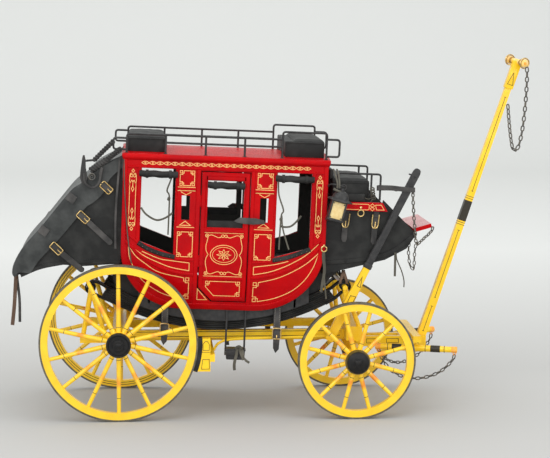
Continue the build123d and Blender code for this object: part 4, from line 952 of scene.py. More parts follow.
def cushion(maker, x0, x1, half, low, high, crown, seams, rows=22, across=34):
    """A crowned closed pad: full sides, rounded edges, sunk seam lines and soft dents."""
    points = []
    flat = []
    for i in range(rows + 1):
        u = i / rows
        x = x0 + (x1 - x0) * u
        round_u = 1 - (1 - min(min(u, 1 - u) * (x1 - x0) / 4.5, 1)) ** 2
        for k in range(across + 1):
            v = k / across
            y = half * (2 * v - 1)
            round_v = 1 - (1 - min(min(v, 1 - v) * 2 * half / 4.5, 1)) ** 2
            rise = (high - low) * (0.35 + 0.65 * math.sqrt(max(round_u * round_v, 0)))
            rise += crown * (math.sin(math.pi * u) * math.sin(math.pi * v)) ** 0.6
            for place in seams:
                rise -= 1.1 * math.exp(-(abs(v - place) * 2 * half / 1.5) ** 2)
            rise += 0.28 * math.sin(0.31 * x + 0.23 * y) * math.sin(0.17 * y - 0.2 * x)
            points.append((x, y, low + rise))
            flat.append((x, y, low))
    wide = across + 1
    half_count = len(points)
    faces = []
    for i in range(rows):
        for k in range(across):
            a = i * wide + k
            faces.append((a, a + 1, a + wide + 1, a + wide))
            faces.append(tuple(half_count + b for b in (a, a + wide, a + wide + 1, a + 1)))
    rim = list(range(across)) + list(range(across, half_count - 1, wide))
    rim += list(range(half_count - 1, rows * wide, -1)) + list(range(rows * wide, 0, -wide))
    for a, b in zip(rim, rim[1:] + rim[:1]):
        faces.append((a, b, half_count + b, half_count + a))
    maker.put(points + flat, faces)


def soft_box(maker, low, high, radius=1.6, steps=3):
    """A box with rounded edges all round, as leather pulled over wood."""
    x0, y0, z0 = low
    x1, y1, z1 = high
    levels = []
    for k in range(steps + 1):
        a = math.pi / 2 * k / steps
        levels.append((radius * math.sin(a), radius * (1 - math.cos(a))))
    rings = [(r, z0 + rise) for r, rise in levels] + [(r, z1 - rise) for r, rise in reversed(levels)]
    corners = (
        (x1 - radius, y1 - radius), (x0 + radius, y1 - radius), (x0 + radius, y0 + radius),
        (x1 - radius, y0 + radius),
    )
    found = []
    for r, z in rings:
        ring = []
        for number, (x, y) in enumerate(corners):
            for k in range(steps + 1):
                a = math.radians(90 * (number + k / steps))
                ring.append((x + r * math.cos(a), y + r * math.sin(a), z))
        found.append(ring)
    maker.skin(found)


def seat_cushion(name, x0, x1, half, low, high, crown, seams=(1 / 3, 2 / 3)):
    pad = Maker(level)
    cushion(pad, x0, x1, half, low, high, crown, seams)
    pad.make(name, "coach", hide)


def roof_seats():
    for name, x0, x1, top, cap_from in (("rear", 4.4, 49.6, 343, 4.4), ("front", 197.8, 246.4, 345, 209)):
        box = Maker(level)
        soft_box(box, (x0, -66, 324.6), (x1, 66, top))
        for side in SIDES:
            y = side * 66.2
            for x in (x0 + 1.2, x1 - 1.2):
                box.strap([(x, y, 326), (x, y, top - 1.2)], (1, 0, 0), 1.2, 0.7)
            box.strap([(x0 + 1, y, top - 1.6), (x1 - 1, y, top - 1.6)], (0, 0, 1), 1.6, 0.9)
        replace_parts(box.make("roof_seat_box_" + name, "coach", hide), "roof_seat_" + name)
        seat_cushion("roof_seat_cushion_" + name, cap_from, x1 - 0.6, 64, top - 0.4, top + 2.4, 2.2)


def driver_seat():
    box = Maker(level)
    soft_box(box, (258.5, -62, 277.4), (305, 62, 297.8))
    for side in SIDES:
        y = side * 62.3
        box.strap([(259.6, y, 296.4), (304, y, 296.4)], (0, 0, 1), 1.8, 0.9)
        box.strap([(303.8, y, 278.4), (303.8, y, 296)], (1, 0, 0), 1.6, 0.9)
        soft_box(box, (258.5, side * 66 - 4, 274), (299, side * 66 + 4, 283), 1)
    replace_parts(box.make("driver_seat_box", "coach", hide), "driver_seat")
    seat_cushion("driver_seat_cushion", 259, 304.6, 61, 297.4, 300.6, 3.2, (0.5,))
    back = Maker(level)
    soft_box(back, (254.6, -60, 300), (259.6, 60, 312))
    back.make("driver_seat_back", "coach", hide)


# Benches: (name, start, end, half width, top)
BENCHES = (("bench_rear", 14, 56, 76, 189), ("bench_middle", 110, 140, 75, 185), (
    "bench_front", 196, 236, 76, 189,
))


def benches():
    for name, x0, x1, half, top in BENCHES:
        box = Maker(level)
        soft_box(box, (x0, -half, top - 12), (x1, half, top - 5), 1.2)
        middle = (x0 + x1) / 2
        soft_box(box, (middle, -66, 137), (middle + 4, 66, top - 11), 0.8)
        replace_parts(box.make(name + "_frame", "coach", black), name)
        seat_cushion(name + "_cushion", x0 + 0.6, x1 - 0.6, half - 1, top - 5.2, top - 2, 2.6)


# Lanterns hang from one place and lean with their posts
LANTERN_LEAN = math.radians(13)
LANTERN_X = 266
LANTERN_Y = 96
LANTERN_Z = 283
CASE_LOW = -29.5
CASE_HIGH = -7.6
HOOD = (
    (0.01, 12.4), (3, 12.2), (6.4, 10.6), (9.4, 7), (11, 2.6),
    (15.6, 0.6), (15.9, -0.2), (15.2, -0.6), (10.6, 0.4), (0.01, 0.4),
)


def lantern(side):
    word = SIDE_NAMES[side]

    def place(x, y, z):
        c = math.cos(LANTERN_LEAN)
        s = math.sin(LANTERN_LEAN)
        return level(LANTERN_X + x * c + z * s, side * (LANTERN_Y + y), LANTERN_Z - x * s + z * c)

    case = Maker(place)
    for x in (-8.6, 8.6):
        for y in (-7.2, 7.2):
            soft_box(case, (x - 1.1, y - 1.1, CASE_LOW), (x + 1.1, y + 1.1, CASE_HIGH), 0.3, 2)
    for low, high in ((CASE_LOW - 2.4, CASE_LOW + 0.6), (CASE_HIGH - 0.8, CASE_HIGH + 1.6)):
        soft_box(case, (-10, -8.6, low), (10, 8.6, high), 0.6, 2)
    for x in (-9.4, 9.4):
        soft_box(case, (x - 0.3, -6.4, CASE_LOW), (x + 0.3, 6.4, CASE_HIGH), 0.1, 1)
    soft_box(case, (-8.6, -8, CASE_LOW), (8.6, -7.4, CASE_HIGH), 0.1, 1)
    case.lathe(HOOD, (0.4, 0, CASE_HIGH + 1.4), (0, 0, 1), 32)
    chimney = ((0.01, 3.4), (1.8, 3), (2.6, 1.6), (2.6, 0), (0.01, 0))
    case.lathe(chimney, (0.4, 0, CASE_HIGH + 13.4), (0, 0, 1), 16)
    case.ring(0.4, 0, CASE_HIGH + 18, 3.4, 0.6, 20)
    case.make("lantern_case_" + word, "coach", iron_black)

    pane = Maker(place)
    for near, far in ((6.2, 7.2), (-6.6, -6)):
        soft_box(pane, (-7.6, near, CASE_LOW + 0.6), (7.6, far, CASE_HIGH - 0.8), 0.3, 2)
    pane.make("lantern_pane_" + word, "coach", pane_glass)

    studs = Maker(place)
    for x in (-6.4, 6.4):
        for z in (CASE_LOW + 2, CASE_HIGH - 2.4):
            studs.lathe(((0.01, 0.8), (0.8, 0.5), (0.9, 0), (0.01, 0)), (x, 7.2, z), (0, 1, 0), 8)
    studs.make("lantern_studs_" + word, "coach", iron)

    arm = Maker(level)
    low_arm = ((250, 83, 252.6), (253, 96, 252.6), (259.4, 96, 254))
    high_arm = ((250.6, 82, 292), (252, 90, 296), (262, 96, 296), (269.6, 96, 293.4))
    for run, turn, radius, sides in ((low_arm, 3, 1.4, 10), (high_arm, 4, 1, 8)):
        arm.tube(rounded([(x, side * y, z) for x, y, z in run], turn), radius, sides)
    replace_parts(arm.make("lantern_arm_" + word, "coach", iron_black), "lantern_" + word)


# Rear boot cover: its line over the boot as (x, z), half its width, its turned-down sides
COVER_LINE = (
    (-0.6, 320.2), (-29.4, 304.9), (-49, 284.8), (-62.9, 274), (-94.6, 232.3),
    (-117, 204.1), (-127.7, 184.2), (-130.4, 172), (-128, 166.8),
)
COVER_HALF = 76.4
COVER_SIDE = 25
COVER_THICK = 1.5
COVER_CORNER = 2.6


def cover_section(t):
    """The cover's outer face across the boot, as (y, lift), at a share of its line."""
    down = COVER_SIDE * (0.9 + 0.1 * math.sin(5 * t)) * min(1, 0.35 + 3.4 * min(t, 1 - t))
    if t > 0.86:
        down *= max(0.25, (1 - t) / 0.14)
    edge = []
    for k in range(9):
        s = 1 - k / 8
        wave = 0.5 * math.sin(9 * t + 2.6 * s)
        edge.append((-COVER_HALF - 0.8 - 0.5 * s + 0.5 * wave * s, -1.6 - down * s))
    for k in range(1, 4):
        a = math.pi / 2 * k / 4
        edge.append((COVER_CORNER * (1 - math.cos(a)) - COVER_HALF - 0.8, COVER_CORNER * math.sin(a) - 1.6))
    top = []
    for k in range(25):
        s = k / 24
        y = (COVER_HALF - 2.4) * (2 * s - 1)
        sag = -1.4 * math.sin(math.pi * s) ** 2 * math.sin(math.pi * t)
        fold = 0.5 * math.sin(0.17 * y + 11 * t) * math.sin(math.pi * t)
        fold += 0.35 * math.sin(23 * t + 0.05 * y) * math.sin(math.pi * s)
        top.append((y, 1.1 + sag + fold))
    return edge + top + [(-y, z) for y, z in reversed(edge)]


def boot_cover():
    """The leather sheet over the rear boot: one skin with turned-down sides and soft folds."""
    line = curve(upright(0, COVER_LINE), 7)
    rings = []
    for i, (spot, ahead) in enumerate(zip(line, directions(line, False))):
        t = i / (len(line) - 1)
        out = Vector((ahead.z, 0, -ahead.x))
        if out.z < 0 and t < 0.7:
            out = -out
        profile = cover_section(t)
        inner = []
        for n, (y, z) in enumerate(profile):
            if n < 10:
                inner.append((y + COVER_THICK, z))
            elif n >= len(profile) - 10:
                inner.append((y - COVER_THICK, z))
            else:
                inner.append((y * 0.985, z - COVER_THICK))
        rings.append([spot + out * z + Vector((0, y, 0)) for y, z in profile + inner[::-1]])
    cover = Maker(level)
    cover.skin(rings)
    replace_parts(cover.make("boot_cover_leather", "coach", shiny_hide, sharp=50), "rear_boot_cover")


def buckle(maker, centre, ahead, over, wide, long, wire):
    """A rectangular brass buckle frame with its pin, lying on a strap."""
    centre = Vector(centre)
    across = Vector(ahead).cross(Vector(over)).normalized()
    ahead = Vector(ahead).normalized()
    over = Vector(over).normalized()
    corners = ((-1, -1), (1, -1), (1, 1), (-1, 1))
    path = [centre + ahead * a * long / 2 + across * b * wide / 2 for a, b in corners]
    maker.tube(rounded(path, min(wide, long) * 0.18, 3, True), wire, 8, True)
    start = centre + ahead * long * 0.14
    end = centre + ahead * long * 0.5 + over * wire * 1.2
    maker.tube([start + over * wire * 0.4, start.lerp(end, 0.5) + over * wire * 1.4, end], wire * 0.9, 6)


# Boot straps: the way they run down the boot's side, and their buckles as (x, z, tail's end)
STRAP_AHEAD = Vector((0.743, 0, -0.669))
STRAP_ACROSS = Vector((0.669, 0, 0.743))
BOOT_BUCKLES = (
    (-19.9, 280.7, None),
    (-47, 243.6, (-13.8, 213.9)),
    (-78.2, 204, (-47, 178.8)),
)
# Bands over the cover's edge: their way along the edge, their way out, and their section
BAND_RUN = Vector((-0.53, 0, -0.848))
BAND_OUT = Vector((-0.848, 0, 0.53))
BAND_PATH = ((81, -9), (80.4, -4), (79.6, -0.4), (76.6, 1.9), (66, 1.7), (50, 1.4))


def boot_straps():
    for side in SIDES:
        straps = Maker(level)
        buckles = Maker(level)
        y = side * 79.4
        for x, z, tail in BOOT_BUCKLES:
            centre = Vector((x, y + side * 0.6, z))
            straps.strap([centre - STRAP_AHEAD * 6.6, centre + STRAP_AHEAD * 6.6], STRAP_ACROSS, 6.2, 1.2)
            buckle(buckles, centre + Vector((0, side * 0.9, 0)), STRAP_AHEAD, (0, side, 0), 8.4, 15.5, 0.7)
            if tail:
                start = centre + STRAP_AHEAD * 5
                end = Vector((tail[0], y - side * 1.2, tail[1]))
                over = (end - start).normalized().cross(Vector((0, 1, 0)))
                near = start.lerp(end, 0.2) + Vector((0, side * 0.5, 0))
                straps.bent_strap([start, near, start.lerp(end, 0.6), end], over, 7, 1.2, 4)
                straps.lathe(((0.01, -0.6), (3.5, -0.6), (3.5, 0.6), (0.01, 0.6)), end, (0, 1, 0), 20)
        for x, z in ((-64.6, 268), (-96.8, 226.6)):
            spot = Vector((x, 0, z)) + BAND_OUT * 0.4
            path = [spot + BAND_OUT * b + Vector((0, side * a, 0)) for a, b in BAND_PATH]
            straps.bent_strap(path, BAND_RUN, 10, 1.2, 4)
        straps.make("boot_cover_straps_" + SIDE_NAMES[side], "coach", strap_hide)
        buckles.make("boot_buckles_" + SIDE_NAMES[side], "coach", brass)


# Chains


def link(maker, centre, ahead, across, long, wide, wire):
    """One oval chain link."""
    across = (across - ahead * across.dot(ahead)).normalized()
    straight = max(long - wide, 0.01) / 2
    r = wide / 2 - wire
    path = []
    for sign in (1, -1):
        for k in range(7):
            a = math.radians(180 * k / 6 - 90 * sign)
            path.append(centre + ahead * (sign * straight + r * math.cos(a)) + across * r * math.sin(a))
    maker.tube(path, wire, 7, True)


def chain(maker, points, wire, long, wide):
    """Oval links along a route, each turned a quarter from the last."""
    route = curve(points)
    lengths = [0]
    for a, b in zip(route, route[1:]):
        lengths.append(lengths[-1] + (b - a).length)
    count = max(2, round(lengths[-1] / (long - 2.3 * wire)))
    for number in range(count):
        target = lengths[-1] * (number + 0.5) / count
        i = max(k for k in range(len(route) - 1) if lengths[k] <= target)
        run = route[i + 1] - route[i]
        ahead = run.normalized()
        base = Vector((0, 1, 0)) if abs(ahead.y) < 0.85 else Vector((1, 0, 0))
        turn = math.radians(28 if number % 2 else 118)
        across = base * math.cos(turn) + ahead.cross(base) * math.sin(turn)
        spot = route[i] + run * (target - lengths[i]) / max(run.length, 0.001)
        link(maker, spot, ahead, across, long, wide, wire)


POLE_CHAIN = (
    (515.6, -20.4, 433), (516.2, -20.2, 420), (515.4, -19.4, 392), (513, -18, 360), (509, -16.6, 336),
    (505, -15, 328.2), (501, -13, 331), (498.4, -10, 348), (496.9, -5, 370), (496.4, -1, 385),
)
LEVER_CHAIN = (
    (363, -79.4, 279), (363.8, -79.4, 262), (365, -79.2, 246), (366.6, -78, 232), (368.2, -75.5, 219),
    (371, -72, 214.6), (379, -66, 220), (390, -57, 228), (393, -55, 234),
)


def chains():
    hung = Maker()
    chain(hung, POLE_CHAIN, 0.85, 8.2, 5.4)
    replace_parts(hung.make("pole_chain_links", "pole", iron), "pole_chain")
    lever = Maker()
    chain(lever, LEVER_CHAIN, 0.75, 6.6, 4.6)
    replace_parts(lever.make("lever_chain_links", "coach", iron), "lever_chain")


roof_feet = [(RAIL_FOOT, x, ROOF_TOP, (0, 0, 1), 14) for x in POSTS]
seat_foot = ((0.01, 1.2), (1.7, 1), (2.4, 0.2), (0.01, 0.2))
chains()
rails("roof_rails", ROOF_RODS, ROOF_RAIL_Y, roof_feet)
rails("seat_rails", SEAT_RODS, 64, [(seat_foot, x, 282, (0, 1, 0), 12) for x in (265, 307)])
roof_seats()
driver_seat()
benches()
for side in SIDES:
    lantern(side)
boot_cover()
boot_straps()

# Wheels: paint and hubs

# Turned hub covers: (look, profile, sides), then the square nut's half width and its ends
REAR_HUB = (
    (0, (
        (0.01, 9.2), (14.6, 9.2), (15.3, 12), (15.3, 15), (14.8, 16.6),
        (13.6, 17.5), (12.6, 17.4), (11.8, 16.2), (7.6, 16.2), (0.01, 16.2),
    ), 56),
    (0, ((0.01, 15.8), (6.9, 15.8), (6.9, 18.4), (6.3, 19), (0.01, 19)), 36),
)
FRONT_HUB = (
    (1, ((10.5, 8.4), (15.2, 8.4), (15.6, 10.2), (15.3, 13), (14.2, 15.6), (10.5, 15.6)), 56),
    (0, ((0.01, 14.8), (13.4, 14.8), (13.7, 16.2), (13.2, 17.2), (12, 17.8), (0.01, 17.8)), 56),
)
REAR_NUT = (3.4, 18.6, 19.7)
FRONT_NUT = (4.2, 17.4, 19.6)


def hub(word, x, radius, side, rear):
    cap = Maker()
    for look, profile, sides in REAR_HUB if rear else FRONT_HUB:
        cap.look = look
        cap.lathe(profile, (x, side * WHEEL_Y, radius), (0, side, 0), sides)
    half, low, high = REAR_NUT if rear else FRONT_NUT
    near, far = sorted((side * (WHEEL_Y + low), side * (WHEEL_Y + high)))
    soft_box(cap, (x - half, near, radius - half), (x + half, far, radius + half), 0.5, 2)
    thing = cap.make("hub_cover_" + word, "road_wheel_" + word, hub_black, hub_brown)
    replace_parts(thing, "hub_cap_" + word)


def wheels():
    """Paints and hubs: where the orange wear is, the spokes' rings and the rim's rings."""
    for word, x, radius, side in WHEELS:
        rear = word.startswith("rear")
        marks = (47, (20.5, 68), (88.9, 91.8)) if rear else (30, (22, 47.3), ())
        look = wheel_paint("wheel_paint_" + word, x, radius, side, *marks)
        for slot in nodes["wheel_" + word].material_slots:
            slot.material = look
        hub(word, x, radius, side, rear)


# Leather thoroughbraces, check straps and steps

# The braces hang in an arc: its middle and its radius at their underside
BRACE_X = 128
BRACE_Z = 395.44
BRACE_BEND = 288.94
BRACE_Y = 55
BRACE_LAYERS = 8
REAR_STAY = ((-9, 181), (13.6, 181), (22, 163), (40, 147), (30, 141), (-4, 156))
FRONT_STAY = ((236, 187), (268, 187), (278, 181), (264, 170), (254, 158), (236, 146))
# The loops that the braces make round their rollers, as (x, z)
REAR_LOOP = (
    (-8, 141.4), (-22, 147.6), (-31, 152.2), (-38, 154.4), (-41, 159.4),
    (-39, 164.8), (-33, 167.2), (-25, 165.8), (-16, 160.6), (-6, 155.8),
)
FRONT_LOOP = (
    (258, 137.6), (270, 144.6), (278, 151.6), (285, 153.8), (288.4, 158.6),
    (287.2, 164.4), (281, 167.2), (273, 163.6), (264, 156.6), (254, 151.6),
)
ROLLER = ((3.15, -6.8), (5.3, -6.8), (5.6, -6.2), (5.6, 6.2), (5.3, 6.8), (3.15, 6.8))
# A strap over the front stand: (share of its lean, y, z)
STAND_LOOP = (
    (0, 63.6, 164), (0.2, 64.2, 168), (1, 64, 172), (2.2, 62, 178.6), (2.6, 58, 179.8), (2.2, 54, 178),
    (1, 52.4, 168),
)


def brace_layer(maker, side, number):
    """One leather of a brace, each a little shorter and higher than the one below."""
    y = side * (BRACE_Y + 0.5 * math.sin(2.3 * number))
    bend = BRACE_BEND - 1.2 - 2.4 * number
    upper = 3 * max(number - 4, 0)
    start = 1.3 * number + upper - 21
    end = 270 - 1.5 * number - upper
    path = []
    for k in range(49):
        x = start + (end - start) * k / 48
        z = BRACE_Z - math.sqrt(bend ** 2 - (x - BRACE_X) ** 2)
        path.append((x, y + 0.3 * math.sin(x / 19 + number), z + 0.15 * math.sin(x / 11 + 2 * number)))
    maker.strap(path, (0, 1, 0), 13.8 - 0.3 * (number % 2), 2.25, edge=0.35)


def braces():
    layers = Maker()
    loops = Maker()
    for side in SIDES:
        for number in range(BRACE_LAYERS):
            brace_layer(layers, side, number)
        for stay in (REAR_STAY, FRONT_STAY):
            layers.plate(stay, 4, lambda u, v, w: (u, side * (50 + w), v))
        y = side * BRACE_Y
        for path in (REAR_LOOP, FRONT_LOOP):
            layers.bent_strap(upright(y, path), (0, 1, 0), 14.4, 1.8, edge=0.35)
        for x, z in ((-34, 160), (281, 160)):
            layers.lathe(ROLLER, (x, y, z), (0, 1, 0), 24)
            roll = upright(side * 62.6, circle(x, z, 4.4, 18))
            layers.tube(roll + roll[:1], 0.9, 8)
        for x, lean in ((275.4, 2), (283.8, -1.6)):
            loops.bent_strap([(x + lean * a, side * b, z) for a, b, z in STAND_LOOP], (1, 0, 0), 3.4, 1.1, 4)
    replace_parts(layers.make("brace_leathers", "coach", hide), "thoroughbraces")
    loops.make("stand_loops", "coach", brown_hide)


def stitches(maker, x, y, low, high, side, gap=2.3):
    """A row of raised threads up a strap."""
    for k in range(int((high - low) / gap)):
        z = low + gap * (k + 0.5)
        maker.tube([(x, y, z - 0.6), (x, y + side * 0.22, z), (x, y, z + 0.6)], 0.22, 5)


# Check straps: (x, top, foot of the strap, end of its tail)
CHECK_STRAPS = ((196.6, 141, 98.8, 81.4), (57, 136, 100.6, 87.4))


def check_straps():
    straps = Maker(level)
    threads = Maker(level)
    bits = Maker(level)
    for side in SIDES:
        y = side * 70.4
        for x, top, low, tail in CHECK_STRAPS:
            path = [(-1, top), (-0.2, top - 6), (0.1, (top + low) / 2), (0, low)]
            straps.bent_strap([(x, y + side * out, z) for out, z in path], (1, 0, 0), 8.8, 1.3)
            shape = [
                (x - 4.3, low + 13), (x + 4.3, low + 13), (x + 4.3, low + 1), (x + 3.5, tail + 4.4),
                (x - 0.6, tail - 0.6), (x - 3.7, tail + 5.4), (x - 4, low + 1),
            ]
            straps.plate(shape, 1.2, lambda u, v, w: (u, y + side * (0.8 + w + 0.02 * (low + 12 - v)), v))
            for z in (low + 1, low + 12):
                keeper = y + side * 1.7
                straps.strap([(x - 5, keeper, z), (x + 5, keeper, z)], (0, 0, 1), 2.2, 2.6)
            for edge in (-2.9, 2.9):
                stitches(threads, x + edge, y + side * 0.8, low + 14, top - 2, side)
            buckle(bits, (x, y + side * 2.6, low + 6.6), (0, 0, -1), (0, side, 0), 10.4, 13.4, 0.8)
    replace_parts(straps.make("check_strap_leathers", "coach", strap_hide, bevel=0.15), "check_straps")
    threads.make("check_strap_threads", "coach", thread)
    bits.make("check_strap_buckles", "coach", brass)


# The step's box as rings: (z, how much narrower, how far out)
STEP_RINGS = ((72.6, 1.9, 81.2), (73.4, 1.2, 82), (80, 0.5, 82.8), (85.4, 0, 83.2), (86.6, 0.6, 82.6))
# The step's laces: the direction of their width, their width, and (x, y, z) with y from the box's face
STEP_LACE_Y = 84.4
STEP_LACES = (
    ((1, 0, 0.1), 3.6, (
        (148.8, -14.4, 87.6), (148.4, -4.4, 88.2), (147.6, 0, 86), (146.6, 0, 78),
        (145.2, 0.6, 72), (144.8, 0, 65), (145.4, 0, 60),
    )),
    ((0.4, 0, -0.9), 3, (
        (145, 0, 86.6), (147.6, 0.8, 89.6), (150.4, 1, 90.2), (153.4, 0.8, 87),
        (155.6, 0.8, 79), (158.6, 0, 73), (163.4, -0.6, 69.8),
    )),
    ((1, 0, 0.3), 2.8, ((150.4, 0.4, 89.4), (152, 0.6, 82), (154.6, 0.4, 76), (155.4, 0, 73))),
)


def steps():
    iron_step = Maker(level)
    laces = Maker(level)
    for side in SIDES:
        for x in (133.8, 157):
            hanger = ((69, 135), (69.2, 110), (69, 76))
            bracket = ((68.6, 86), (76, 86), (83, 84.6))
            for run, thick in ((hanger, 2), (bracket, 1.6)):
                iron_step.strap([(x, side * y, z) for y, z in run], (1, 0, 0), 2.4, thick)
        rings = []
        for z, cut, out in STEP_RINGS:
            near = side * out
            deep = side * (67.4 + cut)
            x0 = 133.4 + cut
            x1 = 157.6 - cut
            rings.append([(x0, near, z), (x1, near, z), (x1, deep, z), (x0, deep, z)])
        iron_step.skin(rings)
        for x0, x1, y, z, wide in ((134, 157.2, 83.2, 85.4, 2), (136, 155.6, 82.8, 75.2, 2.6)):
            iron_step.strap([(x0, side * y, z), (x1, side * y, z)], (0, 0, 1), wide, 1)
        for across, wide, run in STEP_LACES:
            laces.bent_strap([(x, side * (STEP_LACE_Y + y), z) for x, y, z in run], across, wide, 0.8)
    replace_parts(iron_step.make("step_boxes", "coach", black, bevel=0.3), "steps")
    laces.make("step_laces", "coach", lace_hide)


# Brake shoes, brake lever and its strap


def face_line(maker, path, y, side, wide=0.6, loop=False, high=0.3):
    """A thin painted line on an upright face at a place along Y."""
    maker.side = side
    maker.line(path, wide, high, loop, lambda z: y)


# The pads bear on the rear tyres: radii, half width, and the angles that they span
PAD_INNER = 97.3
PAD_OUTER = 102.4
PAD_HALF = 4.9
SHOE_FACE = 103
SHOE_LINES = (
    (((103, 88.4), (103, 96), (105.6, 99.4), (108.2, 99.4), (110.6, 96), (110.6, 88.4)), 0.6, True),
    (((102.6, 77), (110.6, 77), (110.6, 65), (101, 65)), 0.6, True),
    (((101.4, 86), (112, 86)), 0.5, False),
)


def brake_shoes():
    pads = Maker()
    lines = Maker()
    section = ((PAD_INNER, -PAD_HALF), (PAD_OUTER, -PAD_HALF), (PAD_OUTER, PAD_HALF), (PAD_INNER, PAD_HALF))
    for side in SIDES:
        rings = []
        for k in range(15):
            a = math.radians(24.5 * k / 14 - 20.5)
            rings.append([(r * math.cos(a), side * WHEEL_Y + y, 97 + r * math.sin(a)) for r, y in section])
        pads.skin(rings)
        for path, wide, loop in SHOE_LINES:
            face_line(lines, path, SHOE_FACE, side, wide, loop)
    pads.make("brake_pads", "coach", hide, bevel=0.3)
    lines.make("brake_shoe_lines", "coach", line_black)


LEVER_FOOT = (262, 98)
LEVER_RUN = (0.4557, 0.8902)
LEVER_Y = -78
# Bars along the lever: (look, sections), each section (place, half width, half thickness)
LEVER_BARS = (
    (0, ((-4, 4.6, 2.4), (-2, 5.6, 2.7), (30, 6, 2.8), (60, 5.4, 2.7), (99, 4.4, 2.6))),
    (1, ((98, 4.9, 3.2), (99, 5.3, 3.4), (103, 5.3, 3.4), (104, 4.9, 3.2))),
    (1, (
        (100, 4.5, 2.5), (180, 4.6, 2.5), (228, 4.9, 2.6), (232, 4.7, 2.6), (235, 3.8, 2.3),
        (236.6, 2, 1.8),
    )),
)
PULL_ROD = ((117.8, 80), (126, 90), (150, 94), (250, 96.4), (262, 98))


def on_lever(s, y, w):
    """A place on the near brake lever: s along it, w across it towards the front."""
    along, up = LEVER_RUN
    return (LEVER_FOOT[0] + along * s + up * w, y, LEVER_FOOT[1] + up * s - along * w)


def brake_lever():
    wood = Maker()
    for look, sections in LEVER_BARS:
        wood.look = look
        rings = []
        for s, w, t in sections:
            shape = chamfered(w, t, min(w, t) * 0.35)
            rings.append([on_lever(s, LEVER_Y + b, a) for a, b in shape])
        wood.skin(rings)
    x, y, z = on_lever(226, LEVER_Y, -4)
    wood.tube([(x + 1, y, z), (x - 3.6, y, z + 1.4)], 1, 8)
    for s in (214, 226):
        wood.lathe(
            ((0.01, 1.4), (1.3, 1.1), (1.7, 0.2), (0.01, 0.2)), on_lever(s, -80.4, 0.6), (0, -1, 0), 10,
        )
    wood.look = 0
    soft_box(wood, (258.5, -76, 94.5), (265.5, -44.2, 101.5), 0.8, 2)
    wood.bent_tube(upright(-58, PULL_ROD), 1.7, 10)
    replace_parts(wood.make("brake_lever_bar", "coach", yellow, black, iron_black), "brake_lever")
    lines = Maker()
    face_line(lines, [(301, 174.6), (294.6, 163.6), (298.6, 161.4)], 80.65, -1, 0.7, True)
    face_line(lines, [(283, 143.8), (286.6, 151.4), (293.2, 149.8), (289.2, 142.2)], 80.75, -1, 0.7)
    lines.make("lever_lines", "coach", line_black)


# The strap that holds the lever back, the loop at its root, and its keeper
LEVER_STRAP = (
    (322.6, -66.6, 284), (336, -72, 284.4), (347.6, -79.2, 284), (353, -81.8, 283.4),
    (361, -81.8, 282.8), (364.6, -80, 282.6), (365.4, -77.4, 282.6), (363.6, -74.4, 282.8),
    (356, -74.4, 283.2), (349, -74.4, 283.6), (338, -70.4, 284.6), (324, -65.6, 284.6),
)
STRAP_ROOT = ((323.4, -62.6, 284.2), (320.6, -64.4, 284), (320.6, -67, 284), (323.6, -67.8, 284.2))
STRAP_KEEPER = ((339, -74.6, 283), (343, -76.6, 281.8), (347, -78.6, 283.6))
CHAIN_HOOK = (
    (363, -80.2, 281.6), (363.2, -80.6, 279.6), (363.2, -79.4, 277.8), (363, -78.2, 279.8),
    (363, -78.8, 281.4),
)


def lever_strap():
    strap = Maker()
    strap.bent_strap(LEVER_STRAP, (0, 0, 1), 6, 1.1)
    strap.bent_strap(STRAP_ROOT, (0, 0, 1), 6.4, 1.2, 4)
    strap.bent_strap(STRAP_KEEPER, (0, 0, 1), 2.2, 1.2, 4)
    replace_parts(strap.make("lever_strap_leather", "coach", strap_hide), "lever_strap")
    hung = Maker()
    hung.tube(CHAIN_HOOK, 0.7, 7)
    hung.make("lever_strap_hook", "coach", iron)


# Draught gear: swingletrees, trace chains, pole and futchell paint

SPLINTER_X = 374
# Swingletrees: name, side, and how far each has swung back
TREES = (("right", -1, 73), ("left", 1, 59))
TREE_HALF = 52
TREE = ((0.01, -52), (3.2, -52), (3.7, -51.2), (3.7, -44), (4.1, -14), (4.4, 0))
TRACE_SHARES = ((0.94, 0.02), (0.86, 0.3), (0.55, 0.75), (0.1, 1), (-0.35, 0.95), (-0.7, 0.6), (-0.92, 0.02))
TRACE_DROP = 33


def swingletree(word, side, swing):
    body = "draught_" + word
    a = math.radians(side * (90 - swing))
    c = math.cos(a)
    s = math.sin(a)

    def place(u, v, w):
        return Vector((SPLINTER_X + u * c - v * s, side * 54 + u * s + v * c, 79.6 + w))

    def turned(profile):
        tree.lathe(profile, (0, 0, 0), (1, 0, 0), 24)

    tree = Maker(place)
    turned(TREE + tuple((r, -u) for r, u in TREE[-2::-1]))
    tree.look = 1
    for u in (-36, -12, 12, 36):
        turned(((3, u - 0.3), (4.35, u - 0.3), (4.35, u + 0.3), (3, u + 0.3)))
    for u in (-30.5, 18.5):
        turned(((3, u), (4.3, u), (4.3, u + 12), (3, u + 12)))
    tree.look = 2
    for end in SIDES:
        turned(((3, end * 45), (3.95, end * 45), (3.95, end * 51.6), (3, end * TREE_HALF)))
        eye = upright(0, circle(end * 48.6, -4.6, 1.6, 14, 2))
        tree.tube(eye, 0.65, 7, True)
    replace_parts(tree.make("swingletree_paint_" + word, body, yellow, line_black, orange), "swingletree_" + word)
    hung = Maker(place)
    chain(hung, [(x * TREE_HALF, 0, -5.6 - z * TRACE_DROP) for x, z in TRACE_SHARES], 0.75, 7.4, 4.8)
    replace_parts(hung.make("trace_chain_links_" + word, body, iron), "trace_chain_" + word)


def pole_half(x):
    return (11 - 3.4 * (x + 6) / 380.8) / 2


# Lines along the pole's sides: (start, end); the lift of the paint and how deep it starts
POLE_LINES = ((58, 150), (12, 46), (203, 330))
POLE_LIFT = 0.14
POLE_SUNK = 0.3


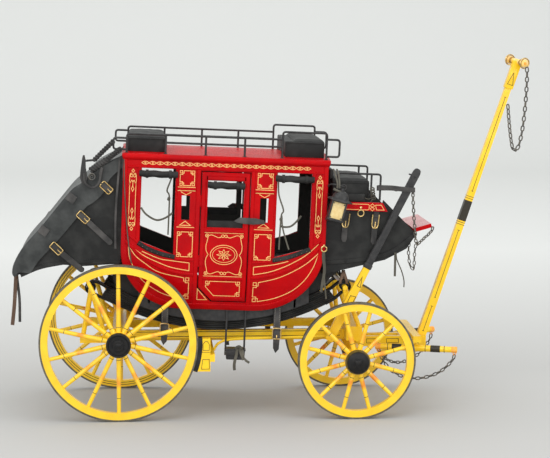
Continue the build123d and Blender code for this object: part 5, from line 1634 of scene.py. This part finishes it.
def pole_paint():
    """Black band, thin double rings and T-ended lines on the pole and its sleeve."""
    lines = Maker(on_pole)
    for x0, x1, lift in [(163, 190, POLE_LIFT)] + [(x, x + 0.6, 0.16) for x in (157.6, 160.4, 192.6, 195.4)]:
        rings = []
        for x in (x0, x1):
            h = pole_half(x) + lift
            rings.append([(x, -h, -h), (x, h, -h), (x, h, h), (x, -h, h)])
        lines.skin(rings)
    for side in SIDES:
        for x0, x1 in POLE_LINES:
            rings = []
            for x in (x0, x1):
                low = side * (pole_half(x) - POLE_SUNK)
                high = side * (pole_half(x) + POLE_LIFT)
                rings.append([(x, low, -0.3), (x, high, -0.3), (x, high, 0.3), (x, low, 0.3)])
            lines.skin(rings)
            for x in (x0, x1):
                ends = (side * (pole_half(x) + POLE_LIFT), side * (pole_half(x1) - POLE_SUNK))
                lines.box((x - 0.3, min(ends), -1.5), (x + 0.3, max(ends), 1.5))
    lines.make("pole_paint", "pole", line_black)


# The pole's head: a cross bar with a ring at each end
HEAD_X = 378
HEAD_BAR = ((0.01, -19), (3, -18.6), (3.4, -10), (3.4, 10), (3, 18.6), (0.01, 19))


def pole_head():
    head = Maker(on_pole)
    soft_box(head, (342, -5.5, -5.5), (HEAD_X, 5.5, 5.5), 0.5, 2)
    turn = math.radians(20)
    over = Vector((0, math.cos(turn), math.sin(turn)))
    aside = over.cross(Vector((1, 0, 0)))

    def turned(look, profile, sides=24):
        head.look = look
        head.lathe(profile, (HEAD_X, 0, 0), over, sides)

    turned(1, HEAD_BAR)
    for end in SIDES:
        for at in (9.4, 12.4):
            turned(2, ((2.4, end * at), (4.3, end * at), (4.3, end * (at + 1.1)), (2.4, end * (at + 1.1))))
        middle = Vector((HEAD_X, 0, 0)) + over * end * 17.9
        ring = [middle + (Vector((1, 0, 0)) * math.cos(a) + aside * math.sin(a)) * 6.4 for a in turns(28)]
        head.tube(ring, 0.95, 8, True)
        turned(3, (
            (0.01, end * 17.2), (5, end * 17.2), (5, end * 18.8), (4.4, end * 19.2), (0.01, end * 19.2),
        ))
        turned(4, ((0.01, end * 18.8), (2, end * 18.8), (1.8, end * 20), (0.01, end * 20)), 14)
    thing = head.make("pole_head_paint", "pole", yellow, pale_yellow, brass, pale_yellow, orange)
    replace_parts(thing, "pole_head")
    lines = Maker(on_pole)
    corners = ((347, -3.6), (347, 3.6), (363, 0.4), (347, -3.6))
    for y in (-5.55, 5.55):
        for (a, b), (c, d) in zip(corners, corners[1:]):
            lines.strap([(a, y, b), (c, y, d)], (b - d, 0, c - a), 0.6, 0.3)
    lines.make("pole_sleeve_lines", "pole", line_black)


def gear_lines():
    lines = Maker()
    bed = Maker()
    for side in SIDES:
        for x0, x1 in ((341.7, 357.3), (316, 331)):
            face_line(lines, [(x0, 79.2), (x1, 79.2), (x1, 84.6), (x0, 84.6)], 14.6, side, loop=True)
        face_line(lines, [(378, 81.5), (383, 84.5), (383, 78.5)], 14.6, side, loop=True)
        for z in (95, 101):
            face_line(bed, [(8, z), (278, z)], 44, side, 0.8)
    lines.make("futchell_lines", "front_gear", line_black)
    bed.make("perch_lines", "coach", line_black)


# Leather and straps on both boots


def rope_twist(maker, start, end, radius, turns_made):
    """Two leather cords twisted round each other between two places."""
    a = Vector(start)
    b = Vector(end)
    ahead = (b - a).normalized()
    aside = ahead.orthogonal().normalized()
    over = ahead.cross(aside)
    count = int(turns_made * 10)
    for strand in (0, 0.5):
        path = []
        for k in range(count + 1):
            angle = 2 * math.pi * (turns_made * k / count + strand)
            path.append(a.lerp(b, k / count) + (aside * math.cos(angle) + over * math.sin(angle)) * radius)
        maker.tube(path, radius * 0.85, 7)


# Ties on the near side of the rear boot
TIES_Y = -79.8
SPOON = (
    (-50.2, 316), (-49.4, 319.4), (-47.4, 319.6), (-46, 314), (-45.4, 304),
    (-43, 293), (-44.6, 283.6), (-49.6, 284.8), (-52.4, 292), (-51.6, 303),
)
# Its sling and the cord in it: (x, y from the ties, z)
SLING = (
    (-47.6, -2.6, 297.4), (-46, -2.8, 286.6), (-37.4, -2.8, 280.4),
    (-29.6, -2.2, 285.4), (-27, -1.4, 297), (-25.6, -0.6, 305),
)
SLING_CORD = ((-26.6, -1.6, 306), (-28.4, -2, 298), (-28, -2, 289), (-25.4, -1.4, 285.6))
# Twisted cords: (start, end, radius, turns)
TWISTS = (
    ((-45.9, -74, 312.2), (-35.4, -74, 313.6), 0.8, 3),
    ((-36.6, -74, 312.6), (-13.4, -76, 337.6), 1.8, 4.5),
    ((-39.4, TIES_Y, 301.6), (-20, -79.6, 315.4), 2.2, 3.5),
    ((-22, -79.4, 313.8), (-4, -78, 329.6), 1.7, 4),
)
CORNER_TIE = ((-20, TIES_Y, 311), (-12, -79.6, 318.6), (-4, -78.6, 325), (-0.6, -77.6, 332))
HANGING_TIES = (
    ((-4.8, 317.7), (-5.5, 300.8), (-6.8, 274.2), (-7.5, 251.5), (-7.4, 230.4), (-6.4, 206.3)),
    ((-1.3, 321), (0, 300), (2.1, 280.5), (4, 262)),
)
CORNER_CORD = (
    (0.6, -84.6, 318), (2.4, -85.6, 280.5), (6.3, -85.8, 238.4), (9.1, -85.6, 215.9), (13.6, -84, 189.2),
)
# Tail straps behind the boot: (look, width, points)
TAIL_STRAPS = (
    (0, 4.6, ((-127.4, -58, 168), (-127.8, -59, 160), (-128.6, -59.4, 130), (-130.4, -59, 104))),
    (1, 3.4, ((-126.6, -57.4, 166), (-125.6, -57.6, 158), (-122.6, -58, 136), (-121.4, -58.4, 108))),
)
REAR_HEM = ((-2, 188.6), (-60, 188), (-98, 180), (-121, 168.6))


def knot_profile(long, wide, mid):
    """A turned knot: pinched ends and a full middle."""
    return ((0.01, -long), (wide, -mid), (wide + 0.4, 0), (wide, mid), (0.01, long))


def rear_boot_ties():
    ties = Maker(level)
    ties.plate(SPOON, 1.8, lambda u, v, w: (u, TIES_Y - 0.4 - w, v))
    ties.bent_strap([(x, TIES_Y + y, z) for x, y, z in SLING], (0, 1, 0), 3.4, 2.6, edge=0.3)
    ties.bent_tube([(x, TIES_Y + y, z) for x, y, z in SLING_CORD], 0.8)
    for twist in TWISTS:
        rope_twist(ties, *twist)
    ties.bent_strap(CORNER_TIE, (0, 1, 0), 2.4, 1)
    for run in HANGING_TIES:
        ties.bent_strap([(x, 0.5 * math.sin(0.11 * z) - 80.4, z) for x, z in run], (1, 0, 0), 2.6, 0.9)
    ties.make("boot_ties", "coach", strap_hide)
    cord = Maker(level)
    cord.bent_tube(CORNER_CORD, 0.7, steps=6)
    cord.make("corner_cord", "coach", lace_hide)
    ring = Maker(level)
    ring.ring(-37.8, -83.8, 294, 3.7, 0.9)
    ring.ring(-37.8, -83.4, 294, 1.6, 0.7, 16, 6)
    ring.make("boot_ring", "coach", iron)
    tail = Maker(level)
    tail.lathe(knot_profile(3, 2.2, 2.4), (-127.6, -58, 163.4), (0.2, 0, 1), 14)
    for look, wide, run in TAIL_STRAPS:
        tail.look = look
        tail.bent_strap(run, (1, 0, 0.05), wide, 0.8)
    tail.make("boot_tail_straps", "coach", brown_hide, strap_hide)
    hem = Maker(level)
    for side in SIDES:
        hem.strap(rounded(upright(side * 74.4, REAR_HEM), 12), (0, 0, 1), 5, 1.2)
    hem.make("boot_hem", "coach", hide)


# Front boot: its side board, the gilt on it, and the straps as (x, end of the tail)
BOARD = ((270.6, 263.8), (327, 263.4), (320.4, 274.2), (270.6, 273.6))
BOARD_FACE = 80.4
BOARD_GILT = (
    (
        ((272.6, 264.9), (302, 264.9), (303.6, 266.4), (303.6, 270.6), (302.2, 271.8), (272.6, 271.6)), 0.7,
        False,
    ),
    (((312.8, 265.2), (322.4, 265.4), (318.6, 271.4), (311.4, 271.2)), 0.7, True),
    (diamond(307.6, 266.4, 2.6, 2.6), 0.6, True),
    (diamond(307.6, 270.2, 2.6, 2.6), 0.6, True),
)
BOOT_STRAPS = ((276.2, 223.4), (313.2, 221.4))
FRONT_HEM = (
    (253.4, 196.4), (281.8, 199), (303.6, 202.6), (326, 208.4), (341, 216), (355, 227.4), (362, 233.4),
)
# Laces and straps that hang from the front boot and the body's front corner
FRONT_STRAP = ((340.3, -71.4, 212), (340.6, -72, 204), (341.2, -72.2, 182.2))
FRONT_LACE = (
    (341.6, -72, 210), (343, -72.4, 202.6), (349.3, -72.8, 189.2), (352.8, -73, 177.7), (353.2, -73, 169),
)
CORNER_STRAPS = (
    (3.6, 1, (
        (249.2, -86.6, 212.6), (249, -86.8, 205.1), (251.1, -86.4, 189.3), (249.6, -85, 172),
        (248.5, -84, 161),
    )),
    (2, 0.8, ((250, -86.2, 210), (251.7, -85.8, 190), (251.7, -85.2, 177.3), (255.2, -84, 152.5))),
)
FOOTBOARD_CHAINS = (
    ((362.3, -60, 214.7), (361.5, -60.6, 202.2), (363.6, -60.8, 186.6), (368.4, -60.8, 180.6)),
    ((370.8, -60, 213), (369.2, -60.4, 200.1), (369, -60.6, 190.5), (368.6, -60.8, 181)),
)


def front_boot_straps(side):
    straps = Maker(level)
    bits = Maker(level)
    y = side * 71.2
    for x, tail in BOOT_STRAPS:
        path = [(x + 1.2, y, 262.6), (x + 0.6, y + side * 0.4, 250), (x - 0.4, y + side * 0.8, 242.4)]
        straps.strap(path, (1, 0, 0), 6.6, 1.2)
        shape = [
            (x - 4, 246), (x + 3, 246), (x + 2.4, tail + 3), (x + 0.8, tail), (x - 2.4, tail),
            (x - 4.4, tail + 3),
        ]
        straps.plate(shape, 1.2, lambda u, v, w: (u, y + side * (0.4 + w), v))
        keeper = y + side * 1.4
        straps.strap([(x - 3.6, keeper, 256.6), (x + 4.4, keeper, 256.6)], (0, 0, 1), 2.6, 1)
        places = ((-3.6, 258.6), (-4.2, 245), (-2.6, 241.6), (1.8, 241.6), (3.6, 245), (4.6, 258.6))
        bits.tube(rounded([(x + a, y + side * 1.6, z) for a, z in places], 1.6), 0.85, 8)
        bits.tube([(x + 0.2, y + side * 1.8, 249.6), (x - 0.4, y + side * 2.2, 242.4)], 0.7, 6)
    straps.make("front_boot_straps_" + SIDE_NAMES[side], "coach", strap_hide)
    bits.ring(293.4, side * 81.6, 260.6, 3.8, 0.75)
    bits.lathe(((0.01, 1), (1.2, 0.8), (1.3, 0), (0.01, 0)), (293.2, side * 80.6, 267.8), (0, side, 0), 10)
    bits.tube([(293.2, side * 80.8, 267), (293.4, side * 81.8, 264.4)], 0.6, 6)
    bits.make("front_boot_brass_" + SIDE_NAMES[side], "coach", brass)


def front_boot_side(side):
    word = SIDE_NAMES[side]
    board = Maker(level)
    board.plate(BOARD, 3.4, lambda u, v, w: (u, side * (77 + w), v))
    thing = board.make("boot_board_paint_" + word, "coach", red, bevel=0.4)
    if side < 0:
        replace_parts(thing, "boot_boards")
    lines = Maker(level)
    for path, wide, loop in BOARD_GILT:
        face_line(lines, path, BOARD_FACE, side, wide, loop, 0.2)
    lines.make("boot_board_gilt_" + word, "coach", gilt)
    front_boot_straps(side)
    hem = Maker(level)
    y = side * 70.9
    hem.bent_strap(upright(y, FRONT_HEM), (0, 0, 1), 5.2, 1.4)
    for x, z in ((279, 198.8), (325, 208.2)):
        hem.lathe(((0.01, 1.1), (1, 0.8), (1.3, 0), (0.01, 0)), (x, y + side * 0.6, z), (0, side, 0), 10)
    hem.make("front_boot_hem_" + word, "coach", hide)


def front_boot_trim():
    for side in SIDES:
        front_boot_side(side)
    hung = Maker(level)
    hung.strap(FRONT_STRAP, (1, 0, 0), 2.8, 0.9)
    hung.bent_tube(FRONT_LACE, 0.75, steps=6)
    for wide, thick, run in CORNER_STRAPS:
        hung.bent_strap(run, (1, 0, 0), wide, thick)
    hung.make("front_boot_laces", "coach", lace_hide)
    ring = Maker(level)
    ring.ring(249.3, -87.2, 215.4, 3.3, 0.85)
    ring.lathe(((0.01, -2.6), (1.1, -2.6), (1.1, 0.6), (0.01, 0.9)), (249.3, -86, 219.6), (0, -1, 0), 10)
    ring.make("corner_ring", "coach", brass)
    hanging = Maker()
    for run in FOOTBOARD_CHAINS:
        chain(hanging, run, 0.6, 6.4, 4.2)
    hanging.make("footboard_chain", "coach", iron)
    knots = Maker(level)
    for side in SIDES:
        seat_knots(knots, side)
    knots.make("seat_knots", "coach", lace_hide)


# Ends of the knotted lace, (x, how far out, z), and the straps from seat to lantern, (top x, low x)
KNOT_ENDS = (
    ((309, 0, 279), (304, -1, 277), (299.6, 0, 278.4)),
    ((311, 0, 279.6), (308.6, 1, 276.4), (306.4, 1.4, 273.4)),
)
LANTERN_STRAPS = ((256.4, 260.8), (260.4, 263.4))
LANTERN_KNOT = ((256.6, 0, 291), (262, 2.4, 288.6), (268, 0, 286.4), (273, -1, 283))


def seat_knots(knots, side):
    """Lace wound round each seat rail, and the straps that lead to each lantern."""
    y = side * 67.6
    for k in range(5):
        wound = []
        for a in turns(12):
            wound.append((
                308 + 2.4 * math.cos(a) + 0.5 * k,
                y + 1.4 * math.sin(a + k),
                290 - 3 * k + 1.8 * math.sin(a),
            ))
        knots.tube(wound, 0.95, 6, True)
    for run in KNOT_ENDS:
        knots.bent_tube([(x, y + side * out, z) for x, out, z in run], 0.7, 6)
    y = side * 97.4
    for x0, x1 in LANTERN_STRAPS:
        path = [(x0, side * 86, 314.4), (x0 + 1.4, side * 95, 310), (x1, y, 298), (x1, y, 292)]
        knots.bent_strap(path, (1, 0, 0), 2, 0.8)
    knots.bent_tube([(x, y + side * out, z) for x, out, z in LANTERN_KNOT], 1.5, 8)


# Leather ties in the near side's windows, which hang beside the wall
WINDOW_SAGS = (
    ((22.9, 258.6), (30, 250), (42.6, 243.8), (54, 247.4), (61.6, 253.4)),
    ((194.3, 241.6), (200, 240.6), (207.4, 242), (213.6, 247.6), (219.4, 255.2)),
)
WINDOW_HANGS = (
    ((60, 300), (56.8, 290), (53.9, 280.6), (56.6, 275.4), (57.2, 264), (57, 226.3)),
    ((189.4, 298), (190.8, 280), (197, 262), (194.8, 255.3), (194, 236), (193.6, 212.7)),
    ((195.2, 255), (197, 240), (202, 224), (205.8, 213.2)),
)


def window_ties():
    ties = Maker(level)
    y = -HALF - 3
    for run in WINDOW_SAGS:
        ties.bent_strap(upright(y + 1.6, run), (0, 0, 1), 2.4, 0.9)
    for run in WINDOW_HANGS:
        ties.bent_strap([(x, y - 0.8 * math.sin(0.13 * z), z) for x, z in run], (1, 0, 0), 1.9, 0.9)
    for x, z in ((56.4, 270.6), (194.6, 250.6)):
        knot = ((0.01, -2.6), (1.6, -2), (2.1, 0), (1.6, 2), (0.01, 2.6))
        ties.lathe(knot, (x, y - 0.6, z), (0.3, 0, 1), 12)
    ties.make("window_ties", "coach", lace_hide)


wheels()
braces()
check_straps()
steps()
brake_shoes()
brake_lever()
lever_strap()
for tree in TREES:
    swingletree(*tree)
pole_paint()
pole_head()
gear_lines()
rear_boot_ties()
front_boot_trim()
window_ties()

# Stage, light and camera, in metres

FLOOR_NEAR = -6
WALL_START = 3.5
WALL_TURN = 1.2
STAGE_HIGH = 6
STAGE_HALF = 7


def floor_paint():
    """Pale grey paper, a little darker on the floor than up the backdrop: painted shade near the coach that
    lightens further back, standing in for the fall of the studio light.
    """
    look = Look("pale_floor")
    # painted light: the paper's colour grows lighter from 0.2 m to 1.5 m back
    far = look.ramp(look.axes("Object")["Y"], 0.2, 1.5)
    look.colour(look.mix(far, (0.45, 0.448, 0.43), (0.67, 0.675, 0.65)))
    look.rough(0.8)
    return look.finish(shine=0.1)


def stage_mesh():
    """A pale floor that turns up into a backdrop."""
    profile = [(FLOOR_NEAR, 0), (WALL_START, 0)]
    for step in range(1, 13):
        a = math.pi / 2 * step / 12
        profile.append((WALL_START + WALL_TURN * math.sin(a), WALL_TURN * (1 - math.cos(a))))
    profile.append((WALL_START + WALL_TURN, STAGE_HIGH))
    points = [(x, y, z) for y, z in profile for x in (-STAGE_HALF, STAGE_HALF)]
    faces = [(k, k + 1, k + 3, k + 2) for k in range(0, len(points) - 2, 2)]
    mesh = bpy.data.meshes.new("floor_stage")
    mesh.from_pydata(points, [], faces)
    mesh.shade_smooth()
    mesh.materials.append(floor_paint())
    thing = bpy.data.objects.new("floor_stage", mesh)
    bpy.context.scene.collection.objects.link(thing)


# Lights: name, place, what it points at, its width and height, its power
LIGHTS = (
    ("top_light", (-0.3, -0.2, 2.4), (0, 0, 0.15), (2.8, 2.4), 29),
    ("front_light", (-1.6, -2.6, 1.7), (0, 0, 0.2), (2, 1.8), 32),
    ("side_light", (2.2, -1.6, 1.3), (0, 0, 0.2), (1.4, 1.4), 16),
    ("wall_light", (0, 2, 3.4), (0, 4.2, 0.6), (5, 1.4), 34),
    ("low_light", (0.2, -2.4, 0.5), (0, 0, 0.06), (2.6, 0.7), 12),
)


def area_light(name, place, aim, size, power):
    data = bpy.data.lights.new(name, "AREA")
    data.shape = "RECTANGLE"
    data.size, data.size_y = size
    data.energy = power
    thing = bpy.data.objects.new(name, data)
    thing.location = place
    thing.rotation_mode = "QUATERNION"
    thing.rotation_quaternion = (Vector(aim) - Vector(place)).to_track_quat("-Z", "Y")
    bpy.context.scene.collection.objects.link(thing)


# The camera that the photograph's wheels give: its turns, its lens in pixels, its place
YAW = 0.0762708
PITCH = 0.1177934
ROLL = 0.0052873
LENS_PIXELS = 1698.17
PHOTO_WIDE = 550
SENSOR = 36
CAMERA_SPOT = (34.0451, -2150.0988, 480.6102)


def make_camera():
    data = bpy.data.cameras.new("camera")
    data.sensor_width = SENSOR
    data.lens = LENS_PIXELS / PHOTO_WIDE * SENSOR
    data.clip_start = 0.05
    data.clip_end = 50
    flat = math.cos(PITCH)
    ahead = Vector((math.sin(YAW) * flat, math.cos(YAW) * flat, -math.sin(PITCH)))
    right = Vector((math.cos(YAW), -math.sin(YAW), 0))
    up = right.cross(ahead)
    across = right * math.cos(ROLL) + up * math.sin(ROLL)
    over = up * math.cos(ROLL) - right * math.sin(ROLL)
    turn = Matrix((across, over, -ahead)).transposed().to_4x4()
    spot = Vector(CAMERA_SPOT) * MM
    spot.x += DATUM_X
    thing = bpy.data.objects.new("camera", data)
    thing.matrix_world = Matrix.Translation(spot) @ turn
    bpy.context.scene.collection.objects.link(thing)
    bpy.context.scene.camera = thing


stage_mesh()
for light in LIGHTS:
    area_light(*light)
world = bpy.data.worlds.new("studio")
world.use_nodes = True
sky = world.node_tree.nodes["Background"].inputs
sky["Color"].default_value = (0.95, 0.97, 1, 1)
sky["Strength"].default_value = 0.92
bpy.context.scene.world = world
bpy.context.scene.view_settings.view_transform = "Standard"
bpy.context.scene.view_settings.look = "None"
make_camera()
